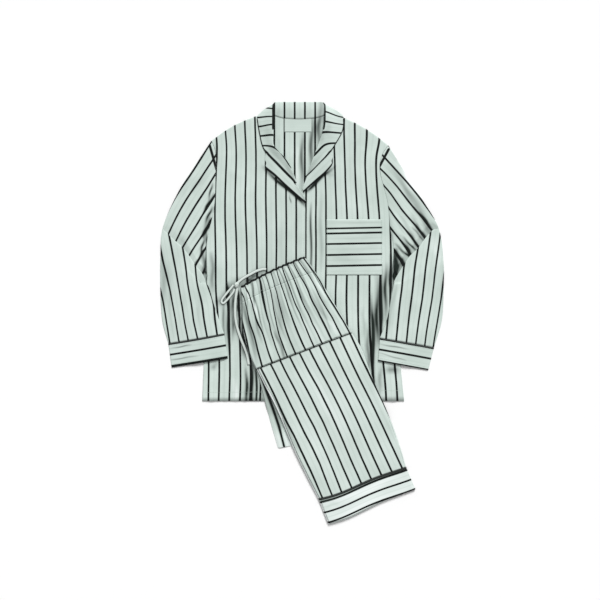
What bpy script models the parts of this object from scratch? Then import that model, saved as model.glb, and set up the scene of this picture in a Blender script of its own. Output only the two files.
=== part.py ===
"""A two-piece pyjama set laid flat: a collared shirt, with its trousers folded on the lower half.

Plan: +X to the right, +Y towards the collar, +Z up from the surface that the set lies on. Sides are
the wearer's, so the right front and right sleeve are at -X. All tables and sizes are in millimetres,
a row for each section or fold. A cloth piece is a mid-surface, worked out as a grid from its table,
and a Solidify modifier gives it its wall.
"""
import bpy
import numpy as np

MM = 0.001           # the tables' unit, in metres
WALL = 1.2           # cloth wall
GAP = 0.35           # between layers that lie on each other
SEAM = 0.6           # between pieces side by side
HALF = WALL / 2
STEP = WALL + GAP    # from one layer's mid-height to the next
BACK_Z = HALF        # mid-height of the layer on the surface
FRONT_Z = BACK_Z + STEP
PLACKET_LIFT = STEP  # the right front rises this much where it laps the left
PLACKET_FROM = -48   # x where it starts to rise, and where it has risen
PLACKET_TO = -26

# The body's two side edges, from hem to shoulder tip, rows matched to the tables below.
# Row ARMPIT is the armpit, and from there on the edge is the armhole.
ARMPIT = 3
SHOULDER = 11
#             x     y
SIDE_RIGHT = ((-239, -211), (-234, -89), (-228, 72), (-227, 172), (-215, 222), (-208, 262),
              (-206, 294), (-205.5, 322), (-205, 350), (-204.5, 372), (-207, 392), (-215, 413))
SIDE_LEFT = ((245, -211), (230, -65), (216, 65), (218, 158), (210, 200), (206.5, 240),
             (202, 272), (193.5, 305), (186, 333), (184.5, 357), (191, 381), (204.5, 402))

# The fronts' inner edges, from hem past the break of the lapel (row 4) to the neck.
CENTRE_RIGHT = ((10, -211), (10.5, -80), (10.5, 70), (10.5, 170), (9.5, 252), (-8, 291),
                (-20, 311.5), (-33, 342), (-52, 368), (-79, 401), (-77, 440), (-77.5, 486))
CENTRE_LEFT = ((-22, -211), (-22, -80), (-22, 70), (-22, 165), (-20, 235), (-8, 272),
               (4, 303), (16.5, 333), (28.5, 356), (49, 402), (60.3, 440), (62.5, 487))

SHOULDER_BOW = 8.5
NECK_CENTRE_X = -7.5     # back neck: a flat curve between the two neck points
NECK_HALF = 69.75
NECK_LOW_Y = 467
NECK_RISE = 19.5
NECK_POWER = 3.2

# Soft folds: a ridge of this height and half-width along a line, fading at both ends.
#                from_x from_y to_x to_y width height
FOLDS_FRONT_RIGHT = ((-204, 240, -206, 100, 11, 3.2), (-188, 385, -150, 300, 16, 1.5),
                     (-213, -135, -222, -230, 9, 2.2), (-120, 300, -132, 150, 22, 1.4))
FOLDS_FRONT_LEFT = ((168, 90, 163, -75, 8, 3.0), (150, 400, 152, 260, 14, 1.6),
                    (212, -150, 222, -230, 9, 2.2))

POCKET_X = (59, 192)     # patch pocket, on the left front
POCKET_Y = (101.5, 224.5)
POCKET_MOUTH_LIFT = 1.2

# The lapels: a row across from the gorge (upper) edge to the outer (lower) edge.
#                upper_x upper_y lower_x lower_y
LAPEL_RIGHT = ((-86.5, 380.0, -88, 347.5), (-64, 356.7, -64, 327.5), (-41, 333.2, -39, 304),
               (-20, 311, -17, 284.5), (-5, 296, -2, 271.5), (9.3, 268, 9, 262.5))
LAPEL_LEFT = ((69, 379.5, 71, 354), (53.5, 365.5, 55, 335), (35, 346.5, 36, 318.5),
              (19.5, 330.5, 20, 304.5), (9.5, 319, 8.5, 294), (0.8, 299, 3, 288.5))
LAPEL_LIFT = 1.4         # how far the roll edge stands above the front
LAPEL_CLEAR = 0.2        # and how much clear of the lap the right one lies

# The collar, from gorge to gorge round the neck: outer edge of the fall, roll line, neck seam.
# forward is 1 where the fall lies on the front and 0 where it is tucked behind the back neck.
# puff is the height of the roll, as a share of COLLAR_ROLL.
COLLAR_ROLL = 7
#         outer_x outer_y roll_x roll_y seam_x seam_y forward puff
COLLAR = ((-18.5, 313.5, -13, 311.5, -16.0, 312.5, 1, 0.25), (-38, 332.5, -24, 343, -27.6, 340.8, 1, 0.5),
          (-61, 356.5, -40, 370, -44.5, 367, 1, 0.75), (-85, 382, -57, 388, -62, 384, 1, 0.9),
          (-96, 402, -68.4, 404, -73.4, 403, 1, 1), (-102.5, 430, -68.6, 430, -74.2, 430, 1, 1),
          (-107, 456, -68.4, 456, -74.6, 456, 1, 1), (-107.5, 471, -68.2, 476, -74, 470, 1, 1),
          (-99, 480.5, -68.6, 492, -70, 475, 0.8, 1), (-86, 490.5, -67, 502.5, -66, 474, 0.4, 1),
          (-71, 489, -60, 504.6, -60, 471.5, 0.1, 1), (-52, 475.5, -44, 504.8, -44, 467.5, 0, 1),
          (-7.5, 471, -7.5, 504.8, -7.5, 465, 0, 1), (37, 475.5, 29, 504.8, 29, 467.5, 0, 1),
          (56, 490, 45, 504.6, 45.5, 471.5, 0.1, 1), (71, 491.5, 52.5, 502.5, 51.5, 474, 0.4, 1),
          (90, 480.5, 53.6, 492, 55.5, 475, 0.8, 1), (98.5, 471, 53.3, 476, 59, 470, 1, 1),
          (100.5, 452, 52.5, 455, 58.6, 453, 1, 1), (96, 432, 48.5, 432, 54.6, 431, 1, 1),
          (80, 404, 39.8, 405.6, 45.4, 404, 1, 1), (65, 381.5, 29, 377, 34, 376, 1, 0.9),
          (41, 357, 19, 350, 22.8, 350.2, 1, 0.7), (20.5, 336, 12, 334.5, 14.6, 334.6, 1, 0.4),
          (8.5, 325, 4.5, 322, 6.6, 323, 1, 0.25))

# Sleeves: a row for each section from the armhole to the cuff seam, by its outer edge, middle and
# inner edge in plan. rest is how high the inner edge rests, and puff the air between the layers.
# Row 0 is replaced by the armhole itself. Row ELBOW is the fold where the forearm laps the upper arm.
ELBOW = 3
#               outer_x outer_y middle_x middle_y inner_x inner_y rest puff
SLEEVE_RIGHT = ((-215, 413, -206, 294, -227, 172, 0, 0), (-256.5, 353, -231.5, 253, -231.3, 146, 0.4, 1.6),
                (-299, 285.6, -263, 197, -231.5, 107, 1.6, 1.8),
                (-333.2, 201.6, -281, 143, -230.8, 72, 3.1, 1.6),
                (-339.2, 132, -284, 98, -223, 60, 3.1, 2.6), (-339.3, 55, -277, 41, -212, 21.6, 3.1, 2.0),
                (-335, -17, -267, -15, -199, -17, 3.1, 1.8), (-320, -73, -254, -62, -187, -49.5, 3.1, 1.0))
SLEEVE_LEFT = ((204.5, 402, 202, 272, 218, 158, 0, 0), (240, 348, 220, 249, 222, 141, 0.3, 1.6),
               (286, 276, 255, 206, 221.5, 114, 0.8, 1.8), (329, 197, 287, 155, 221, 92, 1.6, 1.6),
               (339.1, 122.4, 286, 106, 220.5, 74, 3.1, 2.6), (339.3, 55, 280, 51, 215, 42, 3.1, 2.0),
               (335, -17, 270, -13, 205, -12, 3.1, 1.8), (316, -83, 252, -71, 187, -60, 3.1, 1.0))
ELBOW_STEP = 3.0         # the forearm's edge stands this much above the upper arm
# Creases that run into the elbow's fold from the inner edge.
FOLDS_SLEEVE_RIGHT = ((-206, 262, -262, 176, 7, 2.6), (-213, 205, -243, 150, 6, 3.0),
                      (-262, 352, -300, 250, 12, 1.6))
FOLDS_SLEEVE_LEFT = ((216, 215, 268, 148, 7, 2.8), (224, 175, 255, 135, 5, 2.6),
                     (206, 300, 280, 205, 10, 1.8), (250, 352, 300, 262, 12, 1.6))
RISE_FROM, RISE_TO = 0.2, 0.5   # share across a sleeve over which it climbs onto the body
SLEEVE_OUT = 2.4         # how far outside the armhole the sleeve's wall starts

PIPING_WIDTH = 3.2
PIPING_WALL = 1.6
# Cuffs: the far ends of the two tubes, as the sleeves' rows.
CUFF_END_RIGHT = (-312.5, -130.5, -245, -120, -178, -109, 3.1, 0.8)
CUFF_END_LEFT = (302.5, -137, 243, -126, 182.5, -115, 3.1, 0.8)

# Trousers: a row across each stretch, its left and right edge in plan and the height of its top.
# gather is the height of the waist's gathers there.
#              left_x left_y right_x right_y top gather
WAISTBAND = ((-147, 64, 5.5, 136, 12.2, 1.5), (-145, 44, 20, 117, 12.8, 1.2),
             (-144, 26.5, 31, 101, 12.2, 1.9))
LEG_UPPER = ((-144, 25.3, 31.5, 99.8, 12.2, 1.9), (-140, -46, 62, 48, 13.4, 0.9),
             (-124, -101, 94, -5, 15.0, 0.3), (-110, -134, 118, -47, 17.0, 0))
LEG_LOWER = ((-111.7, -128.4, 115.2, -42.1, 10.4, 0), (-89, -174, 142, -84, 10.4, 0),
             (-57, -238, 170, -158, 9.8, 0), (-20, -326, 206, -240, 8.6, 0), (14, -396, 233, -314, 8.0, 0),
             (39.2, -444.5, 249.2, -368.5, 7.4, 0))
HEM_BAND = ((41, -449, 251.4, -373.2, 7.3, 0), (52, -478, 262, -399, 7.2, 0),
            (63.4, -506.8, 272.6, -423, 7.0, 0))
GATHERS = 12
WAIST_BOW = 4            # the waist edge bows up by this in its middle
FOLDS_LEG_UPPER = ((-70, 60, -24, -100, 9, -2.6), (-52, 60, -6, -96, 9, 2.0), (-5, 85, 62, -60, 8, 1.8),
                   (38, 90, 100, -30, 9, -1.6), (-118, 40, -96, -120, 12, 1.4))
FOLDS_LEG_LOWER = ((-20, -130, 60, -330, 30, 1.0), (110, -90, 200, -300, 26, -0.8))

# Where a stretch turns down at its edges: distance in from the edge, and drop below the top.
#              inset drop
SIDE_TURN = ((0.6, 4.4), (0.6, 2.4), (1.7, 0.9), (5.0, 0.15))
END_TURN = ((0.6, 4.0), (0.6, 2.2), (1.7, 0.9), (5.0, 0.15))

CORNER_IN = 1.6          # how far a corner between the two is rounded off in plan

# The hidden layers: rows along the folded trousers and the height of their top.
#               left_x left_y right_x right_y top
FOLDED_CORE = ((-145, 61, 6, 132.5, 8.0), (-144, 26, 31, 100, 8.0), (-140, -46, 62, 48, 8.0),
               (-124, -101, 94, -5, 9.4), (-115, -122, 111.5, -34.5, 13.4),
               (-113.8, -124.8, 112.8, -37.3, 8.2),
               (-89, -174, 142, -84, 8.1), (-57, -238, 170, -158, 7.3), (-20, -326, 206, -240, 6.2),
               (14, -396, 233, -314, 5.8), (40, -447, 250, -371, 5.1), (61.0, -501.5, 270.6, -418.6, 4.8))
CORE_INSET = 2.4
SHIRT_TOP = 4.65         # underside of the trousers where they lie on the shirt
OFF_SHIRT_FROM, OFF_SHIRT_TO = -218, -264   # y over which they come down past its hem
# The layers of the core's edge: share of its height, and how far in from the outermost layer.
LAYERS = ((0.0, 1.0), (0.1, 0.1), (0.24, 0.1), (0.33, 1.3), (0.42, 0.1), (0.58, 0.1), (0.67, 1.3),
          (0.76, 0.1), (0.9, 0.2), (1.0, 1.2))

# The other leg's edge, which shows beside the lower stretch: its inner and outer edge in plan.
#            inner_x inner_y outer_x outer_y
UNDER_LEG = ((-106.5, -139, -110, -135.5), (-90, -169, -99.5, -168), (-69.5, -209.5, -89, -209),
             (-48.5, -256.5, -77, -256), (-27, -308, -61, -312), (-23.5, -318, -57, -324))
UNDER_LEG_RISE = 1.5

# The drawstring, a flat tape: its routes in plan.
TAPE_WIDTH = 6.5
TAPE_THICK = 1.3
TAPE_WAIST = ((-151.4, 75), (-145, 80.5), (-137, 86), (-125, 92.5), (-110, 100.5), (-95, 105.2), (-86, 105))
TAPE_LOOP = ((-165.2, 68.6), (-170.5, 61), (-178, 51), (-186, 40.5), (-193, 31), (-194.2, 25.5), (-190, 22.5),
             (-184, 26.5), (-177, 34), (-170, 43), (-165, 50), (-162.6, 57.5))
TAPE_END = ((-155, 59.5), (-156.6, 50), (-158.5, 38), (-160, 22), (-160.3, 5), (-159.5, -12), (-156.5, -30),
            (-151.5, -48), (-145, -66), (-137.5, -84), (-131.5, -102), (-127.5, -124))
KNOT_PLACE = (-157, 67.5)
KNOT_SIZE = (5.4, 6.6, 3.2)   # half sizes


def smooth(low, high, value):
    """0 below low, 1 above high, and a soft S between them."""
    share = np.clip((np.asarray(value, float) - low) / (high - low), 0, 1)
    return share * share * (3 - 2 * share)


def through(rows, places):
    """A smooth curve that passes through the rows (Catmull-Rom), read at places counted in rows."""
    rows = np.asarray(rows, float)
    padded = np.concatenate([2 * rows[:1] - rows[1:2], rows, 2 * rows[-1:] - rows[-2:-1]])
    places = np.clip(np.asarray(places, float), 0, len(rows) - 1 - 1e-9)
    start = places.astype(int)
    t = (places - start).reshape(places.shape + (1,) * (rows.ndim - 1))
    a, b, c, d = (padded[start + k] for k in range(4))
    return 0.5 * (2 * b + (c - a) * t + (2 * a - 5 * b + 4 * c - d) * t**2 + (3 * b - a - 3 * c + d) * t**3)


def straight(rows, places):
    """The same with straight runs between the rows."""
    rows = np.asarray(rows, float)
    return np.stack([np.interp(places, np.arange(len(rows)), column) for column in rows.T], axis=-1)


def folds(table, x, y):
    """Height of the soft folds of a table at x, y: each a bell across its line, fading at its ends."""
    height = np.zeros_like(x)
    for from_x, from_y, to_x, to_y, width, top in table:
        run = np.array((to_x - from_x, to_y - from_y), float)
        length = np.hypot(*run)
        along = ((x - from_x) * run[0] + (y - from_y) * run[1]) / length**2
        across = ((x - from_x) * run[1] - (y - from_y) * run[0]) / length
        ends = np.sin(np.pi * np.clip(along, 0, 1))
        height = height + top * np.exp(-(across / width) ** 2) * ends**0.8
    return height


def front_top(x, on_right):
    """Top of the fronts where other pieces lie on them: flat, but for the right one's lap at the placket."""
    return FRONT_Z + HALF + PLACKET_LIFT * smooth(PLACKET_FROM, PLACKET_TO, x) * on_right


def under_trousers(y):
    """Underside of the folded trousers: on the shirt, then down past its hem to the surface."""
    return SHIRT_TOP * smooth(OFF_SHIRT_TO, OFF_SHIRT_FROM, y)


def material(name, colour, roughness=0.6):
    made = bpy.data.materials.new(name)
    made.use_nodes = True
    shader = made.node_tree.nodes["Principled BSDF"]
    shader.inputs["Base Color"].default_value = (*colour, 1)
    shader.inputs["Roughness"].default_value = roughness
    shader.inputs["Metallic"].default_value = 0
    return made


def add_object(name, verts, faces, colour):
    """An object from points in millimetres."""
    mesh = bpy.data.meshes.new(name)
    mesh.from_pydata((np.asarray(verts, float).reshape(-1, 3) * MM).tolist(), [], [list(f) for f in faces])
    mesh.materials.append(material(name + "_cloth", colour))
    mesh.validate()
    made = bpy.data.objects.new(name, mesh)
    bpy.context.scene.collection.objects.link(made)
    return made


def grid_faces(rows, columns, ring=False):
    """Quads of a grid of points, row by row. A ring's last column joins its first."""
    r, c = np.meshgrid(np.arange(rows - 1), np.arange(columns if ring else columns - 1), indexing="ij")
    after = (c + 1) % columns
    return np.stack([r * columns + c, r * columns + after, (r + 1) * columns + after, (r + 1) * columns + c],
                    axis=-1).reshape(-1, 4)


def cloth(name, grid, colour, wall=WALL, ring=False):
    """A cloth wall on a mid-surface, which is a grid of points, or rings of points on a tube."""
    made = add_object(name, grid, grid_faces(grid.shape[0], grid.shape[1], ring), colour)
    solidify = made.modifiers.new("wall", "SOLIDIFY")
    solidify.thickness = wall * MM
    solidify.offset = 0
    solidify.use_even_offset = False
    return made


def panel(left, right, top, across, rows):
    """Plan of a panel between two side edges (a Coons patch): straight at the hem, `top` above.
    across holds the shares of the columns, rows the places of the rows in the side tables."""
    up = (rows / rows[-1])[:, None, None]
    over = across[None, :, None]
    left_edge, right_edge = through(left, rows)[:, None], through(right, rows)[:, None]
    hem = left_edge[:1] * (1 - over) + right_edge[:1] * over
    corners = ((1 - over) * (1 - up) * left_edge[0] + over * (1 - up) * right_edge[0]
               + (1 - over) * up * left_edge[-1] + over * up * right_edge[-1])
    return (1 - over) * left_edge + over * right_edge + (1 - up) * hem + up * top[None] - corners


def shoulder_line(left, right, across):
    """The shoulder between the ends of two side tables, which bows up most towards its tip."""
    share = across[:, None]
    line = np.asarray(left[-1], float) * (1 - share) + np.asarray(right[-1], float) * share
    from_neck = 1 - across if left is SIDE_RIGHT else across
    line[:, 1] += SHOULDER_BOW * np.sin(np.pi * from_neck**1.4)
    return line


def back_neck_y(x):
    """The back neck's edge: low in the middle and steep at the two neck points."""
    return NECK_LOW_Y + NECK_RISE * np.minimum(np.abs((x - NECK_CENTRE_X) / NECK_HALF), 1) ** NECK_POWER


def with_height(plan, z):
    return np.concatenate([plan, np.broadcast_to(z, plan.shape[:-1])[..., None]], axis=-1)


def build_body():
    rows = np.array([0, 0.4, 0.8, 1.2, 1.6, 2, 2.5, 3, 3.5, 4, 4.5, 5, 6, 7, 8, 9, 10, 11.0])
    neck = np.array([NECK_CENTRE_X - NECK_HALF, NECK_CENTRE_X + NECK_HALF])
    middle = np.linspace(*neck, 9)[1:-1]
    quarters = np.linspace(0, 1, 5)
    top = np.concatenate([shoulder_line(SIDE_RIGHT, CENTRE_RIGHT, quarters),
                          np.stack([middle, back_neck_y(middle)], axis=-1),
                          shoulder_line(CENTRE_LEFT, SIDE_LEFT, quarters)])
    across = (top[:, 0] - top[0, 0]) / (top[-1, 0] - top[0, 0])
    back = panel(SIDE_RIGHT, SIDE_LEFT, top, across, rows)
    cloth("shirt_back", with_height(back, BACK_Z), (0.55, 0.64, 0.60))

    across = np.linspace(0, 1, 13)
    plan = panel(SIDE_RIGHT, CENTRE_RIGHT, shoulder_line(SIDE_RIGHT, CENTRE_RIGHT, across), across, rows)
    lap = PLACKET_LIFT * smooth(PLACKET_FROM, PLACKET_TO, plan[..., 0])
    height = FRONT_Z + lap + folds(FOLDS_FRONT_RIGHT, plan[..., 0], plan[..., 1]) * (1 - lap / PLACKET_LIFT)
    cloth("shirt_front_right", with_height(plan, height), (0.66, 0.75, 0.71))
    plan = panel(CENTRE_LEFT, SIDE_LEFT, shoulder_line(CENTRE_LEFT, SIDE_LEFT, across), across, rows)
    height = FRONT_Z + folds(FOLDS_FRONT_LEFT, plan[..., 0], plan[..., 1])
    cloth("shirt_front_left", with_height(plan, height), (0.62, 0.72, 0.68))


def build_pocket():
    x = np.linspace(*POCKET_X, 7)
    y = np.linspace(*POCKET_Y, 6)
    plan = np.stack(np.meshgrid(x, y), axis=-1)
    lift = POCKET_MOUTH_LIFT * np.sin(np.pi * (x - x[0]) / (x[-1] - x[0])) * smooth(y[2], y[-1], y)[:, None]
    height = front_top(plan[..., 0], False) + GAP + HALF + lift
    cloth("chest_pocket", with_height(plan, height), (0.70, 0.78, 0.75))


def build_lapels():
    for name, table in (("lapel_right", LAPEL_RIGHT), ("lapel_left", LAPEL_LEFT)):
        rows = through(table, np.linspace(0, len(table) - 1, 14))
        across = np.linspace(0, 1, 6)[None, :, None]
        plan = rows[:, None, :2] * (1 - across) + rows[:, None, 2:] * across
        from_notch = smooth(0, 1, np.linspace(0, 3, 14))[:, None]
        roll = LAPEL_LIFT * (1 - smooth(0, 0.6, across[..., 0])) * from_notch
        top = front_top(plan[..., 0], name == "lapel_right") + LAPEL_CLEAR
        cloth(name, with_height(plan, top + GAP + HALF + roll), (0.74, 0.82, 0.79))


def build_collar():
    rows = through(COLLAR, np.linspace(0, len(COLLAR) - 1, 37))
    outer, roll, seam = rows[:, :2], rows[:, 2:4], rows[:, 4:6]
    forward, puff = np.clip(rows[:, 6:7], 0, 1), rows[:, 7:8] * COLLAR_ROLL
    # Seven points of the section: share of the way in plan, and height forward and tucked behind.
    to_roll = np.array([0, 0.4, 0.78, 0.97, 1.0, 1.0, 1.0])
    to_seam = np.array([0, 0, 0, 0, 0, 0.45, 1.0])
    lift = np.array([0, 0.1, 0.75, 1.0, 0.62, 0.28, 0])
    behind = np.array([0, 0, 0.05, 0.5, 1.5, 2.9, STEP]) + BACK_Z
    plan = outer[:, None] + (roll - outer)[:, None] * to_roll[:, None]
    plan = plan + (seam - roll)[:, None] * to_seam[:, None]
    base = front_top(plan[..., 0], outer[:, :1] < NECK_CENTRE_X) + GAP + HALF
    front = base + lift * puff
    front[:, -1] = base[:, -1] - STEP
    front[:, -2] = np.maximum(front[:, -2] - 0.6, front[:, -1] + 0.8)
    section = np.concatenate([plan, (front * forward + behind * (1 - forward))[..., None]], axis=-1)
    section = through(section.transpose(1, 0, 2), np.linspace(0, 6, 12)).transpose(1, 0, 2)
    cloth("collar", section, (0.60, 0.70, 0.66))


def sleeve_rows(table, armhole, shares):
    """The sleeve's rows in plan, each sampled at the same shares from its outer to its inner edge."""
    table = np.asarray(table, float)
    points = table[:, :6].reshape(-1, 3, 2)
    s = shares[None, :, None]
    sampled = (points[:, :1] * (1 - s) * (1 - 2 * s) + points[:, 1:2] * 4 * s * (1 - s)
               + points[:, 2:] * s * (2 * s - 1))
    if armhole is not None:
        outward = SLEEVE_OUT * np.sign(table[0, 0])
        sampled[0] = through(armhole, SHOULDER - (SHOULDER - ARMPIT) * shares) + np.array((outward, 0))
    return sampled, table[:, 6:]


def tube_shares(columns):
    """Shares across a flattened tube, close together at its two folded edges."""
    inner = np.linspace(0.06, 0.94, columns)
    return np.concatenate([[0, 0.013], inner, [0.987, 1]])


def flat_tube(name, plan, rest, puff, top_extra, colour, wall=WALL):
    """A flattened tube: lower wall, folded edge, upper wall and the other edge, as rings."""
    shares = tube_shares(plan.shape[1] - 4)
    low = wall / 2 + rest * smooth(RISE_FROM, RISE_TO, shares)[None, :]
    layer = wall + GAP
    high = low + layer + puff * np.sin(np.pi * shares)[None, :] ** 0.5 + top_extra
    middle = low + layer / 2
    inner = slice(1, -1)
    lower, upper = with_height(plan, low)[:, inner], with_height(plan, high)[:, inner][:, ::-1]
    first, last = with_height(plan, middle)[:, :1], with_height(plan, middle)[:, -1:]
    cloth(name, np.concatenate([first, lower, last, upper], axis=1), colour, wall, ring=True)


def build_sleeve(side, table, armhole, fold_table, cuff_end):
    shares = tube_shares(7)
    sampled, heights = sleeve_rows(table, armhole, shares)
    places = np.array([0, 0.5, 1, 1.5, 2, 2.5, 2.95, 3.05, 3.3, 3.7, 4.2, 5, 6, 7])
    plan = through(sampled, places)
    level = straight(heights, places)
    past_elbow = smooth(ELBOW - 0.02, ELBOW + 0.04, places) * (1 - smooth(ELBOW + 0.1, ELBOW + 2.2, places))
    inside = np.sin(np.pi * shares)[None, :] ** 0.5
    upper_arm = (smooth(0, 0.8, places) * (places < ELBOW))[:, None]
    creases = folds(fold_table, plan[..., 0], plan[..., 1]) * upper_arm
    extra = (creases + ELBOW_STEP * past_elbow[:, None]) * inside
    flat_tube("sleeve_" + side, plan, level[:, :1], level[:, 1:], extra, (0.64, 0.73, 0.70))

    # The piping and the cuff carry on from the sleeve's last row, which the cuff's end row closes.
    ends = np.array([table[-1], cuff_end], float)
    sampled, heights = sleeve_rows(ends, None, shares)
    length = np.linalg.norm(sampled[1] - sampled[0], axis=-1).mean()
    for name, start, stop, count, wall, colour in (
            ("cuff_piping_", SEAM, SEAM + PIPING_WIDTH, 2, PIPING_WALL, (0.01, 0.02, 0.015)),
            ("cuff_", 2 * SEAM + PIPING_WIDTH, length, 4, WALL, (0.70, 0.79, 0.76))):
        places = np.linspace(start, stop, count) / length
        level = straight(heights, places)
        share = places[:, None, None]
        plan = sampled[0] * (1 - share) + sampled[1] * share
        flat_tube(name + side, plan, level[:, :1], level[:, 1:], 0, colour, wall)


def edge_columns(columns, turn):
    """Columns across a stretch: inset and drop at each side's turn, and shares between them."""
    inset = np.array([row[0] for row in turn])
    drop = np.array([row[1] for row in turn])
    blank = np.zeros(columns)
    shares = np.concatenate([np.zeros(len(turn)), np.linspace(0, 1, columns + 2)[1:-1], np.ones(len(turn))])
    return (shares, np.concatenate([inset, blank, -inset[::-1]]), np.concatenate([drop, blank, drop[::-1]]))


def stretch(name, table, places, columns, fold_table, colour, bow=0, bow_from=0, first_turn=False,
            last_turn=False):
    """A stretch of the folded trousers: crowned across, turned down at both sides and at an end."""
    rows = through(table, places)
    left, right = rows[:, None, :2], rows[:, None, 2:4]
    shares, inset, drop = edge_columns(columns, SIDE_TURN)
    run = right - left
    width = np.linalg.norm(run, axis=-1, keepdims=True)
    plan = left + run * shares[None, :, None] + run / width * inset[None, :, None]
    down = np.stack([run[..., 1], -run[..., 0]], axis=-1) / width
    bowed = bow * np.sin(np.pi * shares)[None, :] * (1 - smooth(0, 1, places - bow_from))[:, None]
    plan = plan - down * bowed[..., None]
    wave = np.sin(2 * np.pi * GATHERS * shares + 0.9 * np.sin(6 * np.pi * shares) + 0.6)
    flat = drop < 0.1
    z = rows[:, 4:5] - HALF + rows[:, 5:6] * (wave * flat)[None, :]
    z = z + folds(fold_table, plan[..., 0], plan[..., 1]) * flat[None, :]
    dropped = np.broadcast_to(drop, z.shape)
    if first_turn:
        plan, z, dropped = turned_end(plan, z, dropped, down[0], END_TURN)
    if last_turn:
        turned = turned_end(plan[::-1], z[::-1], dropped[::-1], -down[-1], END_TURN)
        plan, z, dropped = (part[::-1] for part in turned)
    cloth(name, with_height(plan, z - dropped), colour)


def turned_end(plan, z, dropped, inward, turn):
    """The first row replaced by rows that turn the end down, each moved in by its inset.
    The drops of an end and a side add up as a round corner does."""
    inset, drop = np.array(turn).T[..., None]
    ends = plan[:1] + inward * inset[..., None]
    corner = (dropped[:1] ** 3 + drop**3) ** (1 / 3)
    round_in = CORNER_IN * dropped[:1] * drop / (dropped.max() * drop.max())
    over = (plan[0, -1] - plan[0, 0]) / np.linalg.norm(plan[0, -1] - plan[0, 0])
    towards = np.where(np.arange(plan.shape[1]) < plan.shape[1] / 2, 1, -1)[None, :, None]
    ends = ends + round_in[..., None] * (inward + towards * over)
    tops = np.repeat(z[:1], len(turn), axis=0)
    return tuple(np.concatenate(pair) for pair in ((ends, plan[1:]), (tops, z[1:]), (corner, dropped[1:])))


def build_trousers():
    pale = (0.72, 0.80, 0.77)
    places = np.array([0, 0.5, 1, 1.5, 2.0])
    stretch("waistband", WAISTBAND, places, 38, (), pale, bow=WAIST_BOW, bow_from=2, first_turn=True)
    places = np.array([0, 0.25, 0.5, 0.8, 1.2, 1.6, 2, 2.4, 2.8, 3.0])
    stretch("leg_upper", LEG_UPPER, places, 27, FOLDS_LEG_UPPER, pale, bow=WAIST_BOW, last_turn=True)
    stretch("leg_lower", LEG_LOWER, np.linspace(0, 5, 11), 12, FOLDS_LEG_LOWER, (0.70, 0.79, 0.75))
    stretch("hem_band", HEM_BAND, np.array([0, 0.6, 1.2, 2.0]), 10, (), pale, last_turn=True)
    end, start = np.array(LEG_LOWER[-1]), np.array(HEM_BAND[0])
    spare = SEAM / np.linalg.norm(start[:2] - end[:2])
    piping = np.array([end + (start - end) * spare, start - (start - end) * spare])
    stretch("hem_piping", piping, np.array([0, 1.0]), 10, (), (0.02, 0.03, 0.025))


def build_core():
    """The hidden layers: a grid for the top and one for the underside, joined by a layered edge."""
    places = np.concatenate([np.arange(0, 4, 0.5), [4], np.arange(5, 10, 0.5), [10, 11]])
    rows = straight(FOLDED_CORE, places)
    left, right = rows[:, None, :2], rows[:, None, 2:4]
    run = right - left
    run = run / np.linalg.norm(run, axis=-1, keepdims=True)
    left, right = left + run * CORE_INSET, right - run * CORE_INSET
    columns = 10
    share = np.linspace(0, 1, columns)[None, :, None]
    plan = left * (1 - share) + right * share
    top = np.broadcast_to(rows[:, 4:5], plan.shape[:2])
    low = under_trousers(plan[..., 1])
    count = len(rows)
    loop = [(0, c) for c in range(columns)]
    loop += [(r, columns - 1) for r in range(1, count)]
    loop += [(count - 1, c) for c in range(columns - 2, -1, -1)]
    loop += [(r, 0) for r in range(count - 2, 0, -1)]
    r, c = np.array(loop).T
    edge, edge_low, edge_top = plan[r, c], low[r, c], top[r, c]
    ahead = np.roll(edge, -1, axis=0) - np.roll(edge, 1, axis=0)
    inward = np.stack([ahead[:, 1], -ahead[:, 0]], axis=-1) / np.linalg.norm(ahead, axis=-1, keepdims=True)
    rings = [with_height(edge + inward * inset, edge_low + (edge_top - edge_low) * height)
             for height, inset in LAYERS[1:-1]]
    under, over = with_height(plan, low).reshape(-1, 3), with_height(plan, top).reshape(-1, 3)
    number = r * columns + c
    # The two grids' borders are the first and last layer, so they're drawn in by those layers' insets.
    under[number, :2] += inward * LAYERS[0][1]
    over[number, :2] += inward * LAYERS[-1][1]
    verts = np.concatenate([under, over, *rings])
    quads = grid_faces(count, columns)
    size = count * columns
    around = np.arange(len(loop))
    levels = [number, *(2 * size + k * len(loop) + around for k in range(len(rings))), number + size]
    faces = [*quads, *(quads[:, ::-1] + size)]
    for lower, upper in zip(levels[:-1], levels[1:]):
        faces += list(np.stack([lower, upper, np.roll(upper, -1), np.roll(lower, -1)], axis=-1))
    add_object("folded_core", verts, faces, (0.58, 0.67, 0.63))


def build_under_leg():
    rows = through(UNDER_LEG, np.linspace(0, 5, 12))
    outer, inner = rows[:, None, 2:], rows[:, None, :2]
    share = np.array([0, 0.04, 0.16, 0.4, 0.7, 1.0])[None, :, None]
    plan = outer * (1 - share) + inner * share
    on_shirt = smooth(OFF_SHIRT_TO + 16, OFF_SHIRT_FROM, plan[..., 1])
    base = BACK_Z + (FRONT_Z + HALF + GAP) * on_shirt
    from_top = smooth(0, 2, np.linspace(0, 11, 12))[:, None]
    rise = UNDER_LEG_RISE * np.sin(np.pi * share[..., 0] ** 0.6) * from_top
    cloth("under_leg", with_height(plan, base + rise), (0.62, 0.71, 0.67))


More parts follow.
